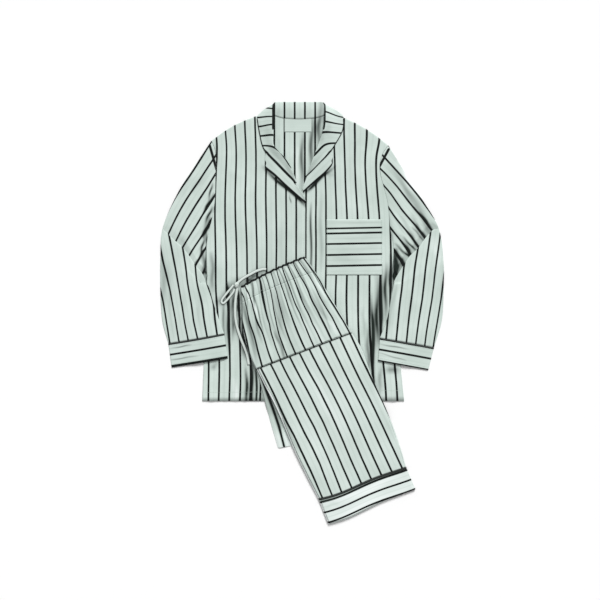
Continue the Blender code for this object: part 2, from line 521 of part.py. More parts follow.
def build_tape(name, route, count):
    """A flat tape along a route in plan, as rings of four points."""
    centre = through(route, np.linspace(0, len(route) - 1, count))
    ahead = np.gradient(centre, axis=0)
    side = np.stack([-ahead[:, 1], ahead[:, 0]], axis=-1) / np.linalg.norm(ahead, axis=-1, keepdims=True)
    z = FRONT_Z + HALF + GAP + TAPE_THICK / 2
    corners = ((0.5, 0.5), (-0.5, 0.5), (-0.5, -0.5), (0.5, -0.5))
    rings = np.stack([with_height(centre + side * TAPE_WIDTH * across, z + TAPE_THICK * up)
                      for across, up in corners], axis=1)
    last = 4 * (count - 1)
    faces = [*grid_faces(count, 4, ring=True), [3, 2, 1, 0], [last, last + 1, last + 2, last + 3]]
    add_object(name, rings, faces, (0.76, 0.83, 0.80))


def build_drawstring():
    build_tape("drawstring_waist", TAPE_WAIST, 12)
    build_tape("drawstring_loop", TAPE_LOOP, 22)
    build_tape("drawstring_end", TAPE_END, 24)
    columns, levels = 12, 7
    turn = np.linspace(0, 2 * np.pi, columns, endpoint=False)[None, :]
    tilt = np.linspace(0, np.pi, levels)[1:-1, None]
    around = np.stack([np.sin(tilt) * np.cos(turn), np.sin(tilt) * np.sin(turn)], axis=-1)
    ball = with_height(around, np.cos(tilt))
    verts = np.concatenate([ball.reshape(-1, 3), [[0, 0, 1], [0, 0, -1]]])
    centre = np.array((*KNOT_PLACE, FRONT_Z + HALF + GAP + KNOT_SIZE[2]))
    faces = list(grid_faces(levels - 2, columns, ring=True)[:, ::-1])
    top, bottom = len(verts) - 2, len(verts) - 1
    for k in range(columns):
        after = (k + 1) % columns
        faces.append((top, k, after))
        faces.append((bottom, (levels - 3) * columns + after, (levels - 3) * columns + k))
    add_object("drawstring_knot", verts * KNOT_SIZE + centre, faces, (0.76, 0.83, 0.80))


def main():
    for existing in list(bpy.data.objects):
        bpy.data.objects.remove(existing, do_unlink=True)
    build_body()
    build_pocket()
    build_lapels()
    build_collar()
    build_sleeve("right", SLEEVE_RIGHT, SIDE_RIGHT, FOLDS_SLEEVE_RIGHT, CUFF_END_RIGHT)
    build_sleeve("left", SLEEVE_LEFT, SIDE_LEFT, FOLDS_SLEEVE_LEFT, CUFF_END_LEFT)
    build_trousers()
    build_core()
    build_under_leg()
    build_drawstring()


main()
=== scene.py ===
"""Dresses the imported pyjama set: each panel as thin striped cotton satin, with its folds, seams and stitching.

Tables and sizes are in millimetres, in the frame's own axes: +Y towards the collar, +Z up, -X the wearer's
right.
"""

import bpy
import numpy as np
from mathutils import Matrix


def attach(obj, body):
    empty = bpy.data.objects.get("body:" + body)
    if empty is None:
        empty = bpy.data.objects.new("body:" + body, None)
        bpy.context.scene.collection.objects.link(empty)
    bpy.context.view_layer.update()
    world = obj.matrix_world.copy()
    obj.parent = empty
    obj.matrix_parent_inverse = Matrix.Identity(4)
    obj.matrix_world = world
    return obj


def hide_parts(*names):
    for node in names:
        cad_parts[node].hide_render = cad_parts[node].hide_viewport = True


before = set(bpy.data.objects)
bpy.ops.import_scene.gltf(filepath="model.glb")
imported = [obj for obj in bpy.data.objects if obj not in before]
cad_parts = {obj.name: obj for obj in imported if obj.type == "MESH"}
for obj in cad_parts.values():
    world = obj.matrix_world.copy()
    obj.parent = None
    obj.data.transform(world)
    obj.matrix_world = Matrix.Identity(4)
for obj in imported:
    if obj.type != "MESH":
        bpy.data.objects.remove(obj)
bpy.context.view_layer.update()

# ---------------------------------------------------------------------------------------------
# Shirt back. One panel of yarn-dyed cotton satin, from hem to shoulders, that lies on the surface.
# The side and shoulder seams join it to the fronts, and the collar's seam follows its neck edge.
MM = 0.001
WALL = 0.9       # the cloth, with its turned edges pressed flat
STEP = 1.45      # from one layer's middle to the next
BACK_Z = 0.47
FRONT_Z = 2.0
PITCH = 24.6     # from one dark stripe to the next
BACK_STRIPE_X, BACK_PITCH = 7, 24.5      # the back's stripes, which run straight up
SEAM_OUT = 1.7   # the panels reach this far out at the armhole, to meet the sleeve's wall
UNDER_SLEEVE = 5     # and the back this far under the sleeves

# x, y in rows from the hem to the shoulder's tip, of which row ARMPIT is the armpit.
ARMPIT, SHOULDER = 3, 11
SIDE_RIGHT = (
    (-239, -211), (-234, -89), (-228, 72), (-227, 172), (-215, 222), (-208, 262), (-206, 294), (-205.5, 322),
    (-205, 350), (-204.5, 372), (-207, 392), (-215, 413))
SIDE_LEFT = (
    (245, -211), (230, -65), (216, 65), (218, 158), (210, 200), (206.5, 240), (202, 272), (193.5, 305),
    (186, 333), (184.5, 357), (191, 381), (204.5, 402))
CENTRE_RIGHT = (
    (10, -211), (10.5, -80), (10.5, 70), (10.5, 170), (9.5, 252), (-8, 291), (-20, 311.5), (-33, 342),
    (-52, 368), (-79, 401), (-77, 440), (-77.5, 486))
CENTRE_LEFT = (
    (-22, -211), (-22, -80), (-22, 70), (-22, 165), (-20, 235), (-8, 272), (4, 303), (16.5, 333), (28.5, 356),
    (49, 402), (60.3, 440), (62.5, 487))
SHOULDER_BOW = 8.5
FOLD_WANDER, FOLD_SWELL = 0.35, 0.18
NECK_CENTRE_X, NECK_HALF, NECK_LOW_Y, NECK_RISE, NECK_POWER = -7.5, 69.75, 467, 19.5, 3.2


def smooth(low, high, value):
    """0 below low, 1 above high, and a soft S between them."""
    share = np.clip((np.asarray(value, float) - low) / (high - low), 0, 1)
    return share * share * (3 - 2 * share)


def through(rows, places):
    """A smooth curve through the rows (Catmull-Rom), read at places counted in rows."""
    rows = np.asarray(rows, float)
    padded = np.concatenate([2 * rows[:1] - rows[1:2], rows, 2 * rows[-1:] - rows[-2:-1]])
    places = np.clip(np.asarray(places, float), 0, len(rows) - 1 - 1e-9)
    start = places.astype(int)
    t = (places - start).reshape(places.shape + (1,) * (rows.ndim - 1))
    a, b, c, d = (padded[start + k] for k in range(4))
    return 0.5 * (2 * b + (c - a) * t + (2 * a - 5 * b + 4 * c - d) * t**2 + (3 * b - a - 3 * c + d) * t**3)


def straight(rows, places):
    """The same with straight runs between the rows."""
    rows = np.asarray(rows, float)
    return np.stack([np.interp(places, np.arange(len(rows)), column) for column in rows.T], axis=-1)


def with_height(plan, z):
    """Points in plan, with a height as their third coordinate."""
    return np.concatenate([plan, np.broadcast_to(z, plan.shape[:-1])[..., None]], axis=-1)


def folds(table, x, y):
    """Height of soft folds at x, y: a bell across each line from (x, y) to (x, y), fading at its ends.
    A row's last two numbers are the bell's half-width and its height, below 0 for a trough."""
    height = np.zeros(np.broadcast(x, y).shape)
    for from_x, from_y, to_x, to_y, width, top in table:
        run = np.array((to_x - from_x, to_y - from_y), float)
        length = np.hypot(*run)
        along = ((x - from_x) * run[0] + (y - from_y) * run[1]) / length**2
        across = ((x - from_x) * run[1] - (y - from_y) * run[0]) / length
        # Each fold wanders a little to the side and swells once along its way.
        across = across + FOLD_WANDER * width * np.sin(3.1 * along * np.pi + from_x)
        swell = 1 - FOLD_SWELL + FOLD_SWELL * np.sin(5 * along + 0.1 * from_y)
        bell = np.exp(-(across / width) ** 2) * np.sin(np.pi * np.clip(along, 0, 1)) ** 0.8
        height = height + top * swell * bell
    return height


def ripples(x, y, size, height):
    """Shallow unevenness of cloth that was smoothed by hand: three crossing slow waves."""
    wave = (np.sin(x / size + 1.3 * np.sin(y / size / 2.3)) + 0.7 * np.sin((0.6 * x + y) / size / 1.7 + 2)
            + 0.5 * np.sin((x - 0.35 * y) / size / 0.55 + 4))
    return height * wave / 2.2


def linear(code):
    """Linear colour, with alpha, of an sRGB hex code."""
    values = np.array([int(code[k:k + 2], 16) for k in (1, 3, 5)]) / 255
    values = np.where(values <= 0.04045, values / 12.92, ((values + 0.055) / 1.055) ** 2.4)
    return (*values.tolist(), 1)


def fill(node, values):
    """Fills a node's inputs by name or number, each from a socket or with a plain value."""
    for key, value in values.items():
        if isinstance(value, bpy.types.NodeSocket):
            node.id_data.links.new(value, node.inputs[key])
        else:
            node.inputs[key].default_value = value


def add(tree, kind, values=None, out=0, **settings):
    """Adds a node with its settings and filled inputs, and returns one of its outputs by name or number."""
    node = tree.nodes.new("ShaderNode" + kind)
    for key, value in settings.items():
        setattr(node, key, value)
    fill(node, values or {})
    return node.outputs[out]


def new_finish(name):
    """A new material: itself, its node tree and its shader."""
    made = bpy.data.materials.new(name)
    made.use_nodes = True
    return made, made.node_tree, made.node_tree.nodes["Principled BSDF"]


# Yarn-dyed cotton satin: pale sage ground with near-black stripes and a faint grey one midway. The weave's
# long floats give a soft broad sheen, and threads of uneven thickness show as fine streaks.
# The map "weave" holds the stripe number across and millimetres along the stripes. The map "marks" holds the
# distance in millimetres to a dark edge line, a seam or stripe at an edge that is widened in places as painted
# shadow, and the shade painted in the depth of a fold, from 0 to 1, or below 0 the painted light where it is
# paler.
# The palest sage is painted light, and the dark green-black one is painted shade for the depth of folds.
SAGE, SAGE_DEEP, SAGE_PAINTED_LIGHT = "#CEDBD5", "#BECCC5", "#EEF4F3"
INK, GREY_STRIPE, PAINTED_FOLD_SHADE = "#070D0B", "#AAB9B1", "#19231E"
STRIPE_HALF, FAINT_HALF, EDGE_HALF = 2.25, 1.5, 2.2     # half widths
# Where shade is painted, the dark stripes are painted wider too, by BOLDER on each side.
BOLDER = 0.9        # how much wider a dark stripe looks on each side in a fold's depth
NO_EDGE = 99.0      # far from any sewn edge
COLOURS = {"out": 2, "data_type": "RGBA"}               # a mix of colours
body_satin, tree, shader = new_finish("striped_cotton_satin")
weave = add(tree, "UVMap", uv_map="weave")
in_mm = add(tree, "VectorMath", {0: weave, 1: (PITCH, 1, 1)}, operation="MULTIPLY")
# Threads lie about 0.3 mm apart, too fine to show, so they are drawn at 1 mm.
warp, weft = (
    add(tree, "TexNoise", {"Vector": add(tree, "VectorMath", {0: in_mm, 1: threads_a_mm}, operation="MULTIPLY"),
                           "Scale": 1.0, "Detail": detail}, noise_dimensions="2D")
    for threads_a_mm, detail in (((0.95, 0.05, 1), 2.0), ((0.09, 1.05, 1), 1.0)))
threads = add(tree, "Math", {0: warp, 1: weft}, operation="ADD")
# Slow changes of tone, some 80 mm across, as the cloth takes dye and light unevenly.
cloud = add(tree, "TexNoise", {"Vector": add(tree, "TexCoord", out="Object"), "Scale": 12.0, "Detail": 2.0})
tone = add(tree, "MapRange", {"Value": cloud, "From Min": 0.3, "From Max": 0.7})
ground = add(tree, "Mix", {0: tone, 6: linear(SAGE_DEEP), 7: linear(SAGE)}, **COLOURS)
streak = add(tree, "MapRange", {"Value": threads, "From Min": 0.7, "From Max": 1.3, "To Min": 0.97,
                                "To Max": 1.02})
ground = add(tree, "Mix", {0: 1.0, 6: ground, 7: streak}, blend_type="MULTIPLY", **COLOURS)
edge, depth = add(tree, "SeparateXYZ", {0: add(tree, "UVMap", uv_map="marks")}).node.outputs[:2]
# Painted light, where the second value of the map "marks" is below 0.
painted_light = add(tree, "Math", {0: depth, 1: -1.0}, operation="MULTIPLY", use_clamp=True)
# Millimetres from the middle of the nearest dark stripe, whose edge shakes by the threads' width.
shake = add(tree, "MapRange", {"Value": warp, "To Min": -0.011, "To Max": 0.011})
across = add(tree, "Math", {0: add(tree, "SeparateXYZ", {0: weave}), 1: shake}, operation="ADD")
off = add(tree, "Math", {0: across, 1: 0.5}, operation="PINGPONG")
off = add(tree, "Math", {0: off, 1: PITCH}, operation="MULTIPLY")
# Painted shade, from the same value: it widens the dark stripes and darkens the ground towards the fold colour.
in_depth = add(tree, "Math", {0: depth, 1: 1.0}, operation="MULTIPLY", use_clamp=True)
bolder = add(tree, "Math", {0: in_depth, 1: -BOLDER, 2: off}, operation="MULTIPLY_ADD")
faint = add(tree, "Math", {0: off, 1: PITCH / 2}, operation="SUBTRACT")
shaded = add(tree, "Math", {0: depth, 1: 0.9}, operation="MULTIPLY", use_clamp=True)
# Each line's colour is full within its half width, and fades out softly.
faint, stripe, dark_edge_and_painted_shadow = (
    add(tree, "MapRange", {"Value": add(tree, "Math", {0: distance}, operation="ABSOLUTE"),
                           "From Min": half - soft, "From Max": half + soft, "To Min": strength, "To Max": 0.0},
        interpolation_type="SMOOTHSTEP")
    for distance, half, soft, strength in ((faint, FAINT_HALF, 0.9, 0.2), (bolder, STRIPE_HALF, 0.3, 1.0),
                                           (edge, EDGE_HALF, 0.35, 1.0)))
# Mixed in turn: painted light, the faint stripe, painted shade, the dark stripes, and the dark edge lines with
# their painted shadow.
for share, colour in ((painted_light, SAGE_PAINTED_LIGHT), (faint, GREY_STRIPE), (shaded, PAINTED_FOLD_SHADE), (stripe, INK),
                      (dark_edge_and_painted_shadow, INK)):
    ground = add(tree, "Mix", {0: share, 6: ground, 7: linear(colour)}, **COLOURS)
bump = add(tree, "Bump", {"Strength": 0.35, "Distance": 0.0004, "Height": threads})
fill(shader, {"Base Color": ground, "Normal": bump, "Roughness": 0.46, "IOR": 1.46, "Specular IOR Level": 0.2,
              "Sheen Weight": 0.03, "Sheen Roughness": 0.45})


def quads(rows, columns, ring=False):
    """Faces of a grid of points, row by row. A ring's last column joins its first."""
    r, c = np.meshgrid(np.arange(rows - 1), np.arange(columns if ring else columns - 1), indexing="ij")
    after = (c + 1) % columns
    return np.stack([r * columns + c, r * columns + after, (r + 1) * columns + after, (r + 1) * columns + c],
                    axis=-1).reshape(-1, 4)


def surface(name, points, faces, finish, **maps):
    """A smooth mesh from points in millimetres and faces. Each map gives every point two values."""
    mesh = bpy.data.meshes.new(name)
    mesh.from_pydata((points.reshape(-1, 3) * MM).tolist(), [], faces)
    for title, pairs in maps.items():
        mesh.uv_layers.new(name=title).uv.foreach_set("vector", pairs[np.concatenate(faces)].ravel())
    mesh.materials.append(finish)
    mesh.shade_smooth()
    made = bpy.data.objects.new(name, mesh)
    bpy.context.scene.collection.objects.link(made)
    return made


def piece(name, points, faces, finish, slot=None, **maps):
    """A surface that is part of the object, on its body, with its finish as its one material. slot is not used.
    """
    made = surface(name, points, faces, finish, **maps)
    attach(made, "root")
    return made


def cloth(name, grid, stripe, along, finish, edge=NO_EDGE, depth=0.0, ring=False, wall=WALL,
          slot="striped_cotton"):
    """A cloth piece on a grid of middle-surface points in millimetres: stripe and along fill the map "weave",
    edge and depth, which is painted shade and below 0 painted light, the map "marks"."""
    shape = grid.shape[:2]
    weave, marks = (np.stack([np.broadcast_to(value, shape) for value in pair], axis=-1).reshape(-1, 2)
                    for pair in ((stripe, along), (edge, depth)))
    made = piece(name, grid, quads(*shape, ring).tolist(), finish, slot, weave=weave, marks=marks)
    solidify = made.modifiers.new("wall", "SOLIDIFY")
    solidify.thickness = wall * MM
    solidify.offset = 0
    solidify.use_even_offset = False
    return made


def panel(left, right, top, across, rows):
    """Plan of a panel between two side edges (a Coons patch): straight at the hem, `top` above."""
    up = (rows / rows[-1])[:, None, None]
    over = across[None, :, None]
    left_edge, right_edge = through(left, rows)[:, None], through(right, rows)[:, None]
    hem = left_edge[:1] * (1 - over) + right_edge[:1] * over
    corners = ((1 - over) * (1 - up) * left_edge[0] + over * (1 - up) * right_edge[0]
               + (1 - over) * up * left_edge[-1] + over * up * right_edge[-1])
    return (1 - over) * left_edge + over * right_edge + (1 - up) * hem + up * top[None] - corners


def shoulder_line(left, right, across):
    """The shoulder between the ends of two side tables, which bows up most towards its tip."""
    share = across[:, None]
    line = np.asarray(left[-1], float) * (1 - share) + np.asarray(right[-1], float) * share
    from_neck = 1 - across if left[-1][0] < right[-1][0] < 0 else across
    line[:, 1] += SHOULDER_BOW * np.sin(np.pi * from_neck**1.4)
    return line


def to_sleeve(side, sign):
    """A side table moved out by SEAM_OUT along the armhole."""
    return [(x + sign * SEAM_OUT * (row >= ARMPIT), y) for row, (x, y) in enumerate(side)]


edge_right, edge_left = to_sleeve(SIDE_RIGHT, -1), to_sleeve(SIDE_LEFT, 1)
rows = np.linspace(0, SHOULDER, 90)
along_shoulder = np.linspace(0, 1, 16)
neck_x = np.linspace(NECK_CENTRE_X - NECK_HALF, NECK_CENTRE_X + NECK_HALF, 40)[1:-1]
neck_y = NECK_LOW_Y + NECK_RISE * np.abs((neck_x - NECK_CENTRE_X) / NECK_HALF) ** NECK_POWER
back_top = np.concatenate([shoulder_line(edge_right, CENTRE_RIGHT, along_shoulder),
                           np.stack([neck_x, neck_y], axis=-1),
                           shoulder_line(CENTRE_LEFT, edge_left, along_shoulder)])
back_across = (back_top[:, 0] - back_top[0, 0]) / (back_top[-1, 0] - back_top[0, 0])
plan = panel(edge_right, edge_left, back_top, back_across, rows)
# Below the armpits the back reaches a little under the sleeves.
under_arm = smooth(20, 60, plan[..., 1]) * (1 - smooth(140, 168, plan[..., 1]))
from_middle = 2 * back_across - 1
plan[..., 0] += UNDER_SLEEVE * under_arm * from_middle * np.abs(from_middle) ** 6
# Painted shade on the back, in the neck under the collar's roll and under the sleeves, and painted light where
# below 0.
PAINTED_SHADE_BACK = (
    (24.5, 490, 21.5, 325, 5.2, 1.0), (1, 440, -1.5, 280, 4.6, 1.0), (-62, 470, -58, 380, 6, 0.2),
    (219, 190, 221, 20, 9, 1.2), (-231, 190, -230, 30, 9, 1.2), (44, 500, 38, 385, 6, 1.0),
    (-12, 400, -13, 300, 4, -0.7))
x, y = plan[..., 0], plan[..., 1]
back = cloth("back_panel", with_height(plan, BACK_Z), (x - BACK_STRIPE_X) / BACK_PITCH, y, body_satin,
             depth=folds(PAINTED_SHADE_BACK, x, y))
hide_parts("shirt_back")

# A bare woven patch, folded at its ends and sewn inside the back neck.
PATCH_X, PATCH_Y, PATCH_Z = (-42, 22.5), (434, 470), BACK_Z + WALL / 2 + 0.22
BARE = 0.27      # a place between a dark stripe and a faint one, for cloth that shows neither
x, y = np.meshgrid(np.linspace(*PATCH_X, 24), np.linspace(*PATCH_Y, 14))
# The patch gets a trace of painted light.
patch = cloth("neck_patch", with_height(np.stack([x, y], axis=-1), PATCH_Z), BARE, y, body_satin, depth=-0.02,
              wall=0.3)

# ---------------------------------------------------------------------------------------------
# Shirt fronts, of the same satin. They lie on the back, sewn to it at the sides and shoulders, and the
# right one laps the left at the placket. Their stripes fan out a little towards the hem.
LAP, LAP_FROM, LAP_TO = 1.5, -48, -26     # how far the right front rises over the left, and where
# Points x, y on some stripes, which are counted from the lap's edge.
STRIPES_RIGHT = {
    -10: ((-224, -185),),
    -9: ((-201.5, 400), (-205, 375), (-206.4, 338), (-208, 200), (-206, 31), (-199.5, -185)),
    -8: ((-185, 439), (-185, 223), (-182, 60), (-176.2, 14), (-174.5, -54), (-175.2, -200)),
    -7: ((-161, 439), (-159, 223), (-155.5, 100), (-150, 10), (-148, -185)),
    -6: ((-137.5, 451), (-136.5, 283), (-131.8, 151), (-121.4, -185)),
    -5: ((-112.5, 466), (-110.5, 313), (-107.8, 151)), -3: ((-62, 380), (-62.9, 300), (-62.9, 100)),
    -1: ((-13.4, 240), (-13.4, 100), (-14, -185)), 0: ((9.6, 223), (9.4, 70), (9, -185))}
STRIPES_LEFT = {
    -1: ((10.3, 293), (9, 150)), 0: ((34.3, 310), (33.6, 190), (33, 60), (32, -185)),
    1: ((55.2, 331), (56.2, 223), (57.6, 40)), 2: ((77.8, 393), (79.2, 314), (83.8, 225), (80.2, 60), (79, 31)),
    3: ((101.8, 463), (104.6, 343), (108.7, 225), (107, 80), (106, 31)),
    4: ((124, 451), (127, 343), (132, 225), (134.4, 80), (134.9, 31)),
    5: ((153.6, 391), (160.8, 228), (163, 80), (162.7, 31)),
    6: ((189.6, 412), (174.2, 377), (180, 295), (186.2, 230), (188.4, 31), (201.4, -185)),
    7: ((211, 204), (213.6, 132), (209, 31), (227.3, -185))}
# Folds: from x, y to x, y, half-width and height.
FOLDS_RIGHT = (
    (-204, 240, -206, 100, 11, 3.2), (-188, 385, -150, 300, 16, 1.5), (-213, -135, -222, -230, 9, 2.2),
    (-120, 300, -132, 150, 22, 1.4), (-173, 45, -184, -225, 6, 2.4), (-148, -30, -158, -225, 5, 2.2),
    (-196, 20, -203, -225, 5, 1.6), (-129, -110, -136, -225, 4.5, 2.0), (-95, 320, -86, 180, 15, 0.9))
FOLDS_LEFT = (
    (168, 90, 163, -75, 8, 3.0), (150, 400, 152, 260, 14, 1.6), (212, -150, 222, -230, 9, 2.2),
    (189, 80, 192, -110, 7, 2.4), (206, 160, 208, 30, 6, 1.8), (146, 40, 150, -60, 7, 1.2),
    (196, -110, 205, -225, 6, 1.4), (40, 250, 40, 120, 7, 0.8))
UNEVEN = 0.22
# The same for the shade painted in the depth of folds, under the lapels, cuffs and tape, by the placket and
# along the hem, with painted light where below 0.
PAINTED_SHADE_RIGHT = (
    (-160, 62, -162, -66, 8, 0.4), (-186, 60, -186, -110, 9, 0.3), (-120, -90, -116, -270, 14, 0.3),
    (-158, 70, -138, -120, 12, 0.2), (-189, 45, -188, -75, 2.6, 0.6), (-177.5, 75, -175, -105, 3, 2.0),
    (-168, 48, -166, -80, 3.4, 0.6), (-152, 56, -151.5, -10, 3, 1.5), (-147, 0, -139, -60, 2.6, 1.0),
    (-139, 34, -133, -110, 5.5, 0.5), (-134, -125, -132, -245, 3.8, 1.2), (-121, -100, -121, -255, 4, 2.0),
    (-109.5, -120, -109, -255, 2.6, 1.8), (-97, -115, -93, -255, 8, 0.8), (-206, 16, -148, 84, 9.5, 1.1),
    (-162, 62, -78, 108, 8, 1.1), (-164, 66, -165, -20, 4.5, 0.7), (-160, -15, -128, -118, 7, 1.1),
    (-99, 353, 17, 252, 4.4, 2.0), (-207, 424, -203, 350, 3, 0.4), (-216, 150, -214, 50, 5, 0.95),
    (-110, 320, -118, 150, 10, 0.12), (-50, 240, -52, 100, 9, 0.12), (-31, 285, -26, 262, 1.6, 1.0),
    (-76, 300, -78, 100, 8, 0.1), (-12, 262, -10, 120, 7, 0.15), (-226, -128, -196, -122, 6, 0.6),
    (-160, -150, -160, -240, 6, -0.7), (-240, -209.5, -90, -209.5, 2, 0.5))
PAINTED_SHADE_LEFT = (
    (21.5, 268, 21.5, 50, 2.8, 1.6), (82, 356.5, 2, 284.5, 4.2, 1.7), (62, 326, 78, 340, 7, 0.3),
    (201.6, 124, 199, -26, 5, 1.2), (181.5, 104, 180, -92, 6.5, 1.3), (190.3, 120, 190, -88, 3.2, 1.6),
    (167, 50, 172.5, -190, 4, 1.9), (158, -35, 160, -142, 5.5, 1.1), (212.6, 146, 210, 42, 2.8, 1.7),
    (219, 118, 213, 40, 4.5, 1.3), (118, -40, 184, -190, 5, 0.3), (198, -133, 240, -139, 6.5, 0.8),
    (146, 20, 150, -60, 4, 0.3), (120, 400, 122, 280, 12, 0.12), (45, 300, 46, 90, 5, 0.35),
    (226, -170, 228, -240, 5, 0.25), (62, 98, 140, 98, 3, 0.3), (185, -200, 190, -115, 5, 0.5),
    (160, -209.5, 246, -209.5, 2, 0.3))


def woven(lines, x, y, slack=60.0):
    """Stripe number at x, y: a thin plate through the lines, which give some stripes by number as points.
    slack lets it miss them a little, for the sake of smooth stripes."""
    spots = np.array([point for line in lines.values() for point in line], float)
    number = np.array([n for n, line in lines.items() for _ in line], float)

    def bend(a, b):
        """r squared times log r, for each pair of points."""
        square = ((a[:, None] - b[None]) ** 2).sum(axis=-1) + 1e-9
        return square * np.log(square) / 2

    count = len(spots)
    system = np.zeros((count + 3, count + 3))
    system[:count, :count] = bend(spots, spots) + slack * np.eye(count) * count
    system[:count, count:] = np.column_stack([np.ones(count), spots])
    system[count:, :count] = system[:count, count:].T
    weight = np.linalg.solve(system, np.concatenate([number, np.zeros(3)]))
    place = np.stack([x, y], axis=-1).reshape(-1, 2)
    value = bend(place, spots) @ weight[:count] + weight[count] + place @ weight[count + 1:]
    return value.reshape(np.shape(x))


def front_height(x, y, right):
    """Middle of the fronts: level but for the lap at the placket, the folds and a slight unevenness."""
    lap = smooth(LAP_FROM, LAP_TO, x) * right
    soft = folds(FOLDS_RIGHT, x, y) * (1 - lap) if right else folds(FOLDS_LEFT, x, y)
    return FRONT_Z + LAP * lap + soft + ripples(x, y, 31, UNEVEN)


def stitching(name, lines):
    """Rows of lock stitches along lines of middle-surface points, as one piece: each stitch is a short bead of
    thread, four-sided and narrower at its ends, half sunk in the cloth."""
    around_side, around_up = np.array(((1, 0, -1, 0), (0, 1, 0, -1)))
    verts = []
    for line in lines:
        length = np.concatenate([[0], np.cumsum(np.linalg.norm(np.diff(line, axis=0), axis=-1))])
        at = np.arange(STITCH_PITCH, length[-1] - STITCH_PITCH / 2, STITCH_PITCH)
        at = at[:, None] + STITCH_LONG * np.array((-0.5, -0.3, 0.3, 0.5))
        centre = np.stack([np.interp(at, length, column) for column in line.T], axis=-1)
        centre[..., 2] += WALL / 2 + 0.1
        ahead = centre[:, -1, :2] - centre[:, 0, :2]
        ahead = ahead / np.linalg.norm(ahead, axis=-1, keepdims=True)
        side = np.stack([-ahead[:, 1], ahead[:, 0], 0 * ahead[:, 0]], axis=-1)[:, None, None]
        half = STITCH_WIDE / 2 * np.array((0.4, 1, 1, 0.4))[:, None]
        beads = centre[:, :, None] + side * (half * around_side)[..., None]
        beads[..., 2] += 0.8 * half * around_up
        verts.append(beads.reshape(-1, 3))
    verts = np.concatenate(verts)
    bead = np.concatenate([quads(4, 4, ring=True), ((3, 2, 1, 0), (12, 13, 14, 15))])
    faces = (bead[None] + 16 * np.arange(len(verts) // 16)[:, None, None]).reshape(-1, 4)
    piece(name, verts, faces.tolist(), sewing_thread)


# Sewing thread: mercerised cotton, dyed a shade deeper than the cloth, with its ply as a fine twist.
STITCH_PITCH, STITCH_LONG, STITCH_WIDE = 3.2, 2.3, 0.6
LAPEL_FOOT = 250
sewing_thread, tree, shader = new_finish("mercerised_sewing_thread")
twist = add(tree, "TexWave", {"Vector": add(tree, "TexCoord", out="Object"), "Scale": 900.0},
            bands_direction="DIAGONAL")
fill(shader, {"Base Color": add(tree, "Mix", {0: twist, 6: linear("#9DAEA5"), 7: linear("#BCCAC3")}, **COLOURS),
              "Roughness": 0.45})

shirt_seams = []
across = np.linspace(0, 1, 168)
rows = np.linspace(0, SHOULDER, 130)
for name, left, right, lines, on_right in (
        ("front_panel_right", edge_right, CENTRE_RIGHT, STRIPES_RIGHT, True),
        ("front_panel_left", CENTRE_LEFT, edge_left, STRIPES_LEFT, False)):
    plan = panel(left, right, shoulder_line(left, right, across), across, rows)
    x, y = plan[..., 0], plan[..., 1]
    grid = with_height(plan, front_height(x, y, on_right))
    front = cloth(name, grid, woven(lines, x, y), y, body_satin,
                  depth=folds(PAINTED_SHADE_RIGHT if on_right else PAINTED_SHADE_LEFT, x, y))
    # The hem is sewn a little way up, and the placket's edge a little way in, up to the lapel.
    shirt_seams.append(grid[2, 3:-3])
    if on_right:
        shirt_seams.append(grid[2:, -5][grid[2:, -5, 1] < LAPEL_FOOT])
    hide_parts("shirt_front_right" if on_right else "shirt_front_left")

# ---------------------------------------------------------------------------------------------
# Chest pocket, a patch of the satin with its stripes across, sewn to the left front on three sides.
# Its mouth has a turned hem, whose dark seam runs across, and gapes a little.
POCKET_X, POCKET_Y, POCKET_HEM_Y = (59, 192), (91.5, 224.5), 205
POCKET_GAPE, POCKET_TILT = 1.2, 0.02
# Height and stripe number, which leaps at the mouth's seam.
POCKET_STRIPES = (
    (91.5, -3.85), (115.2, -3), (141.6, -2), (168, -1), (193, 0), (204, 0.4), (206, 1.2), (217, 1.5),
    (224.5, 1.8))
# Painted shade in shallow bands across the pocket.
PAINTED_SHADE_POCKET = (
    (50, 153, 200, 155, 7, 0.12), (50, 128, 200, 129, 7, 0.12), (50, 180, 200, 181, 6, 0.1),
    (50, 218, 200, 217, 2, 0.25))
x, y = np.meshgrid(np.linspace(*POCKET_X, 70), np.linspace(*POCKET_Y, 64))
gape = POCKET_GAPE * np.sin(np.pi * (x - POCKET_X[0]) / (POCKET_X[1] - POCKET_X[0])) * smooth(175, 224, y)
tilted = y + POCKET_TILT * (POCKET_X[1] - x)
stripe = np.interp(tilted, *np.array(POCKET_STRIPES).T)
grid = with_height(np.stack([x, y], axis=-1), front_height(x, y, False) + STEP + gape)
pocket = cloth("pocket_patch", grid, stripe, x, body_satin, edge=tilted - POCKET_HEM_Y,
               depth=folds(PAINTED_SHADE_POCKET, x, y))
shirt_seams += [grid[::-1, 1], grid[1, 1:-1], grid[:, -2]]
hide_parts("chest_pocket")

# ---------------------------------------------------------------------------------------------
# Lapels. Each front's facing turned out along the break, so its stripes run with the edge. They lie on
# the fronts and meet the collar at the gorge seam.

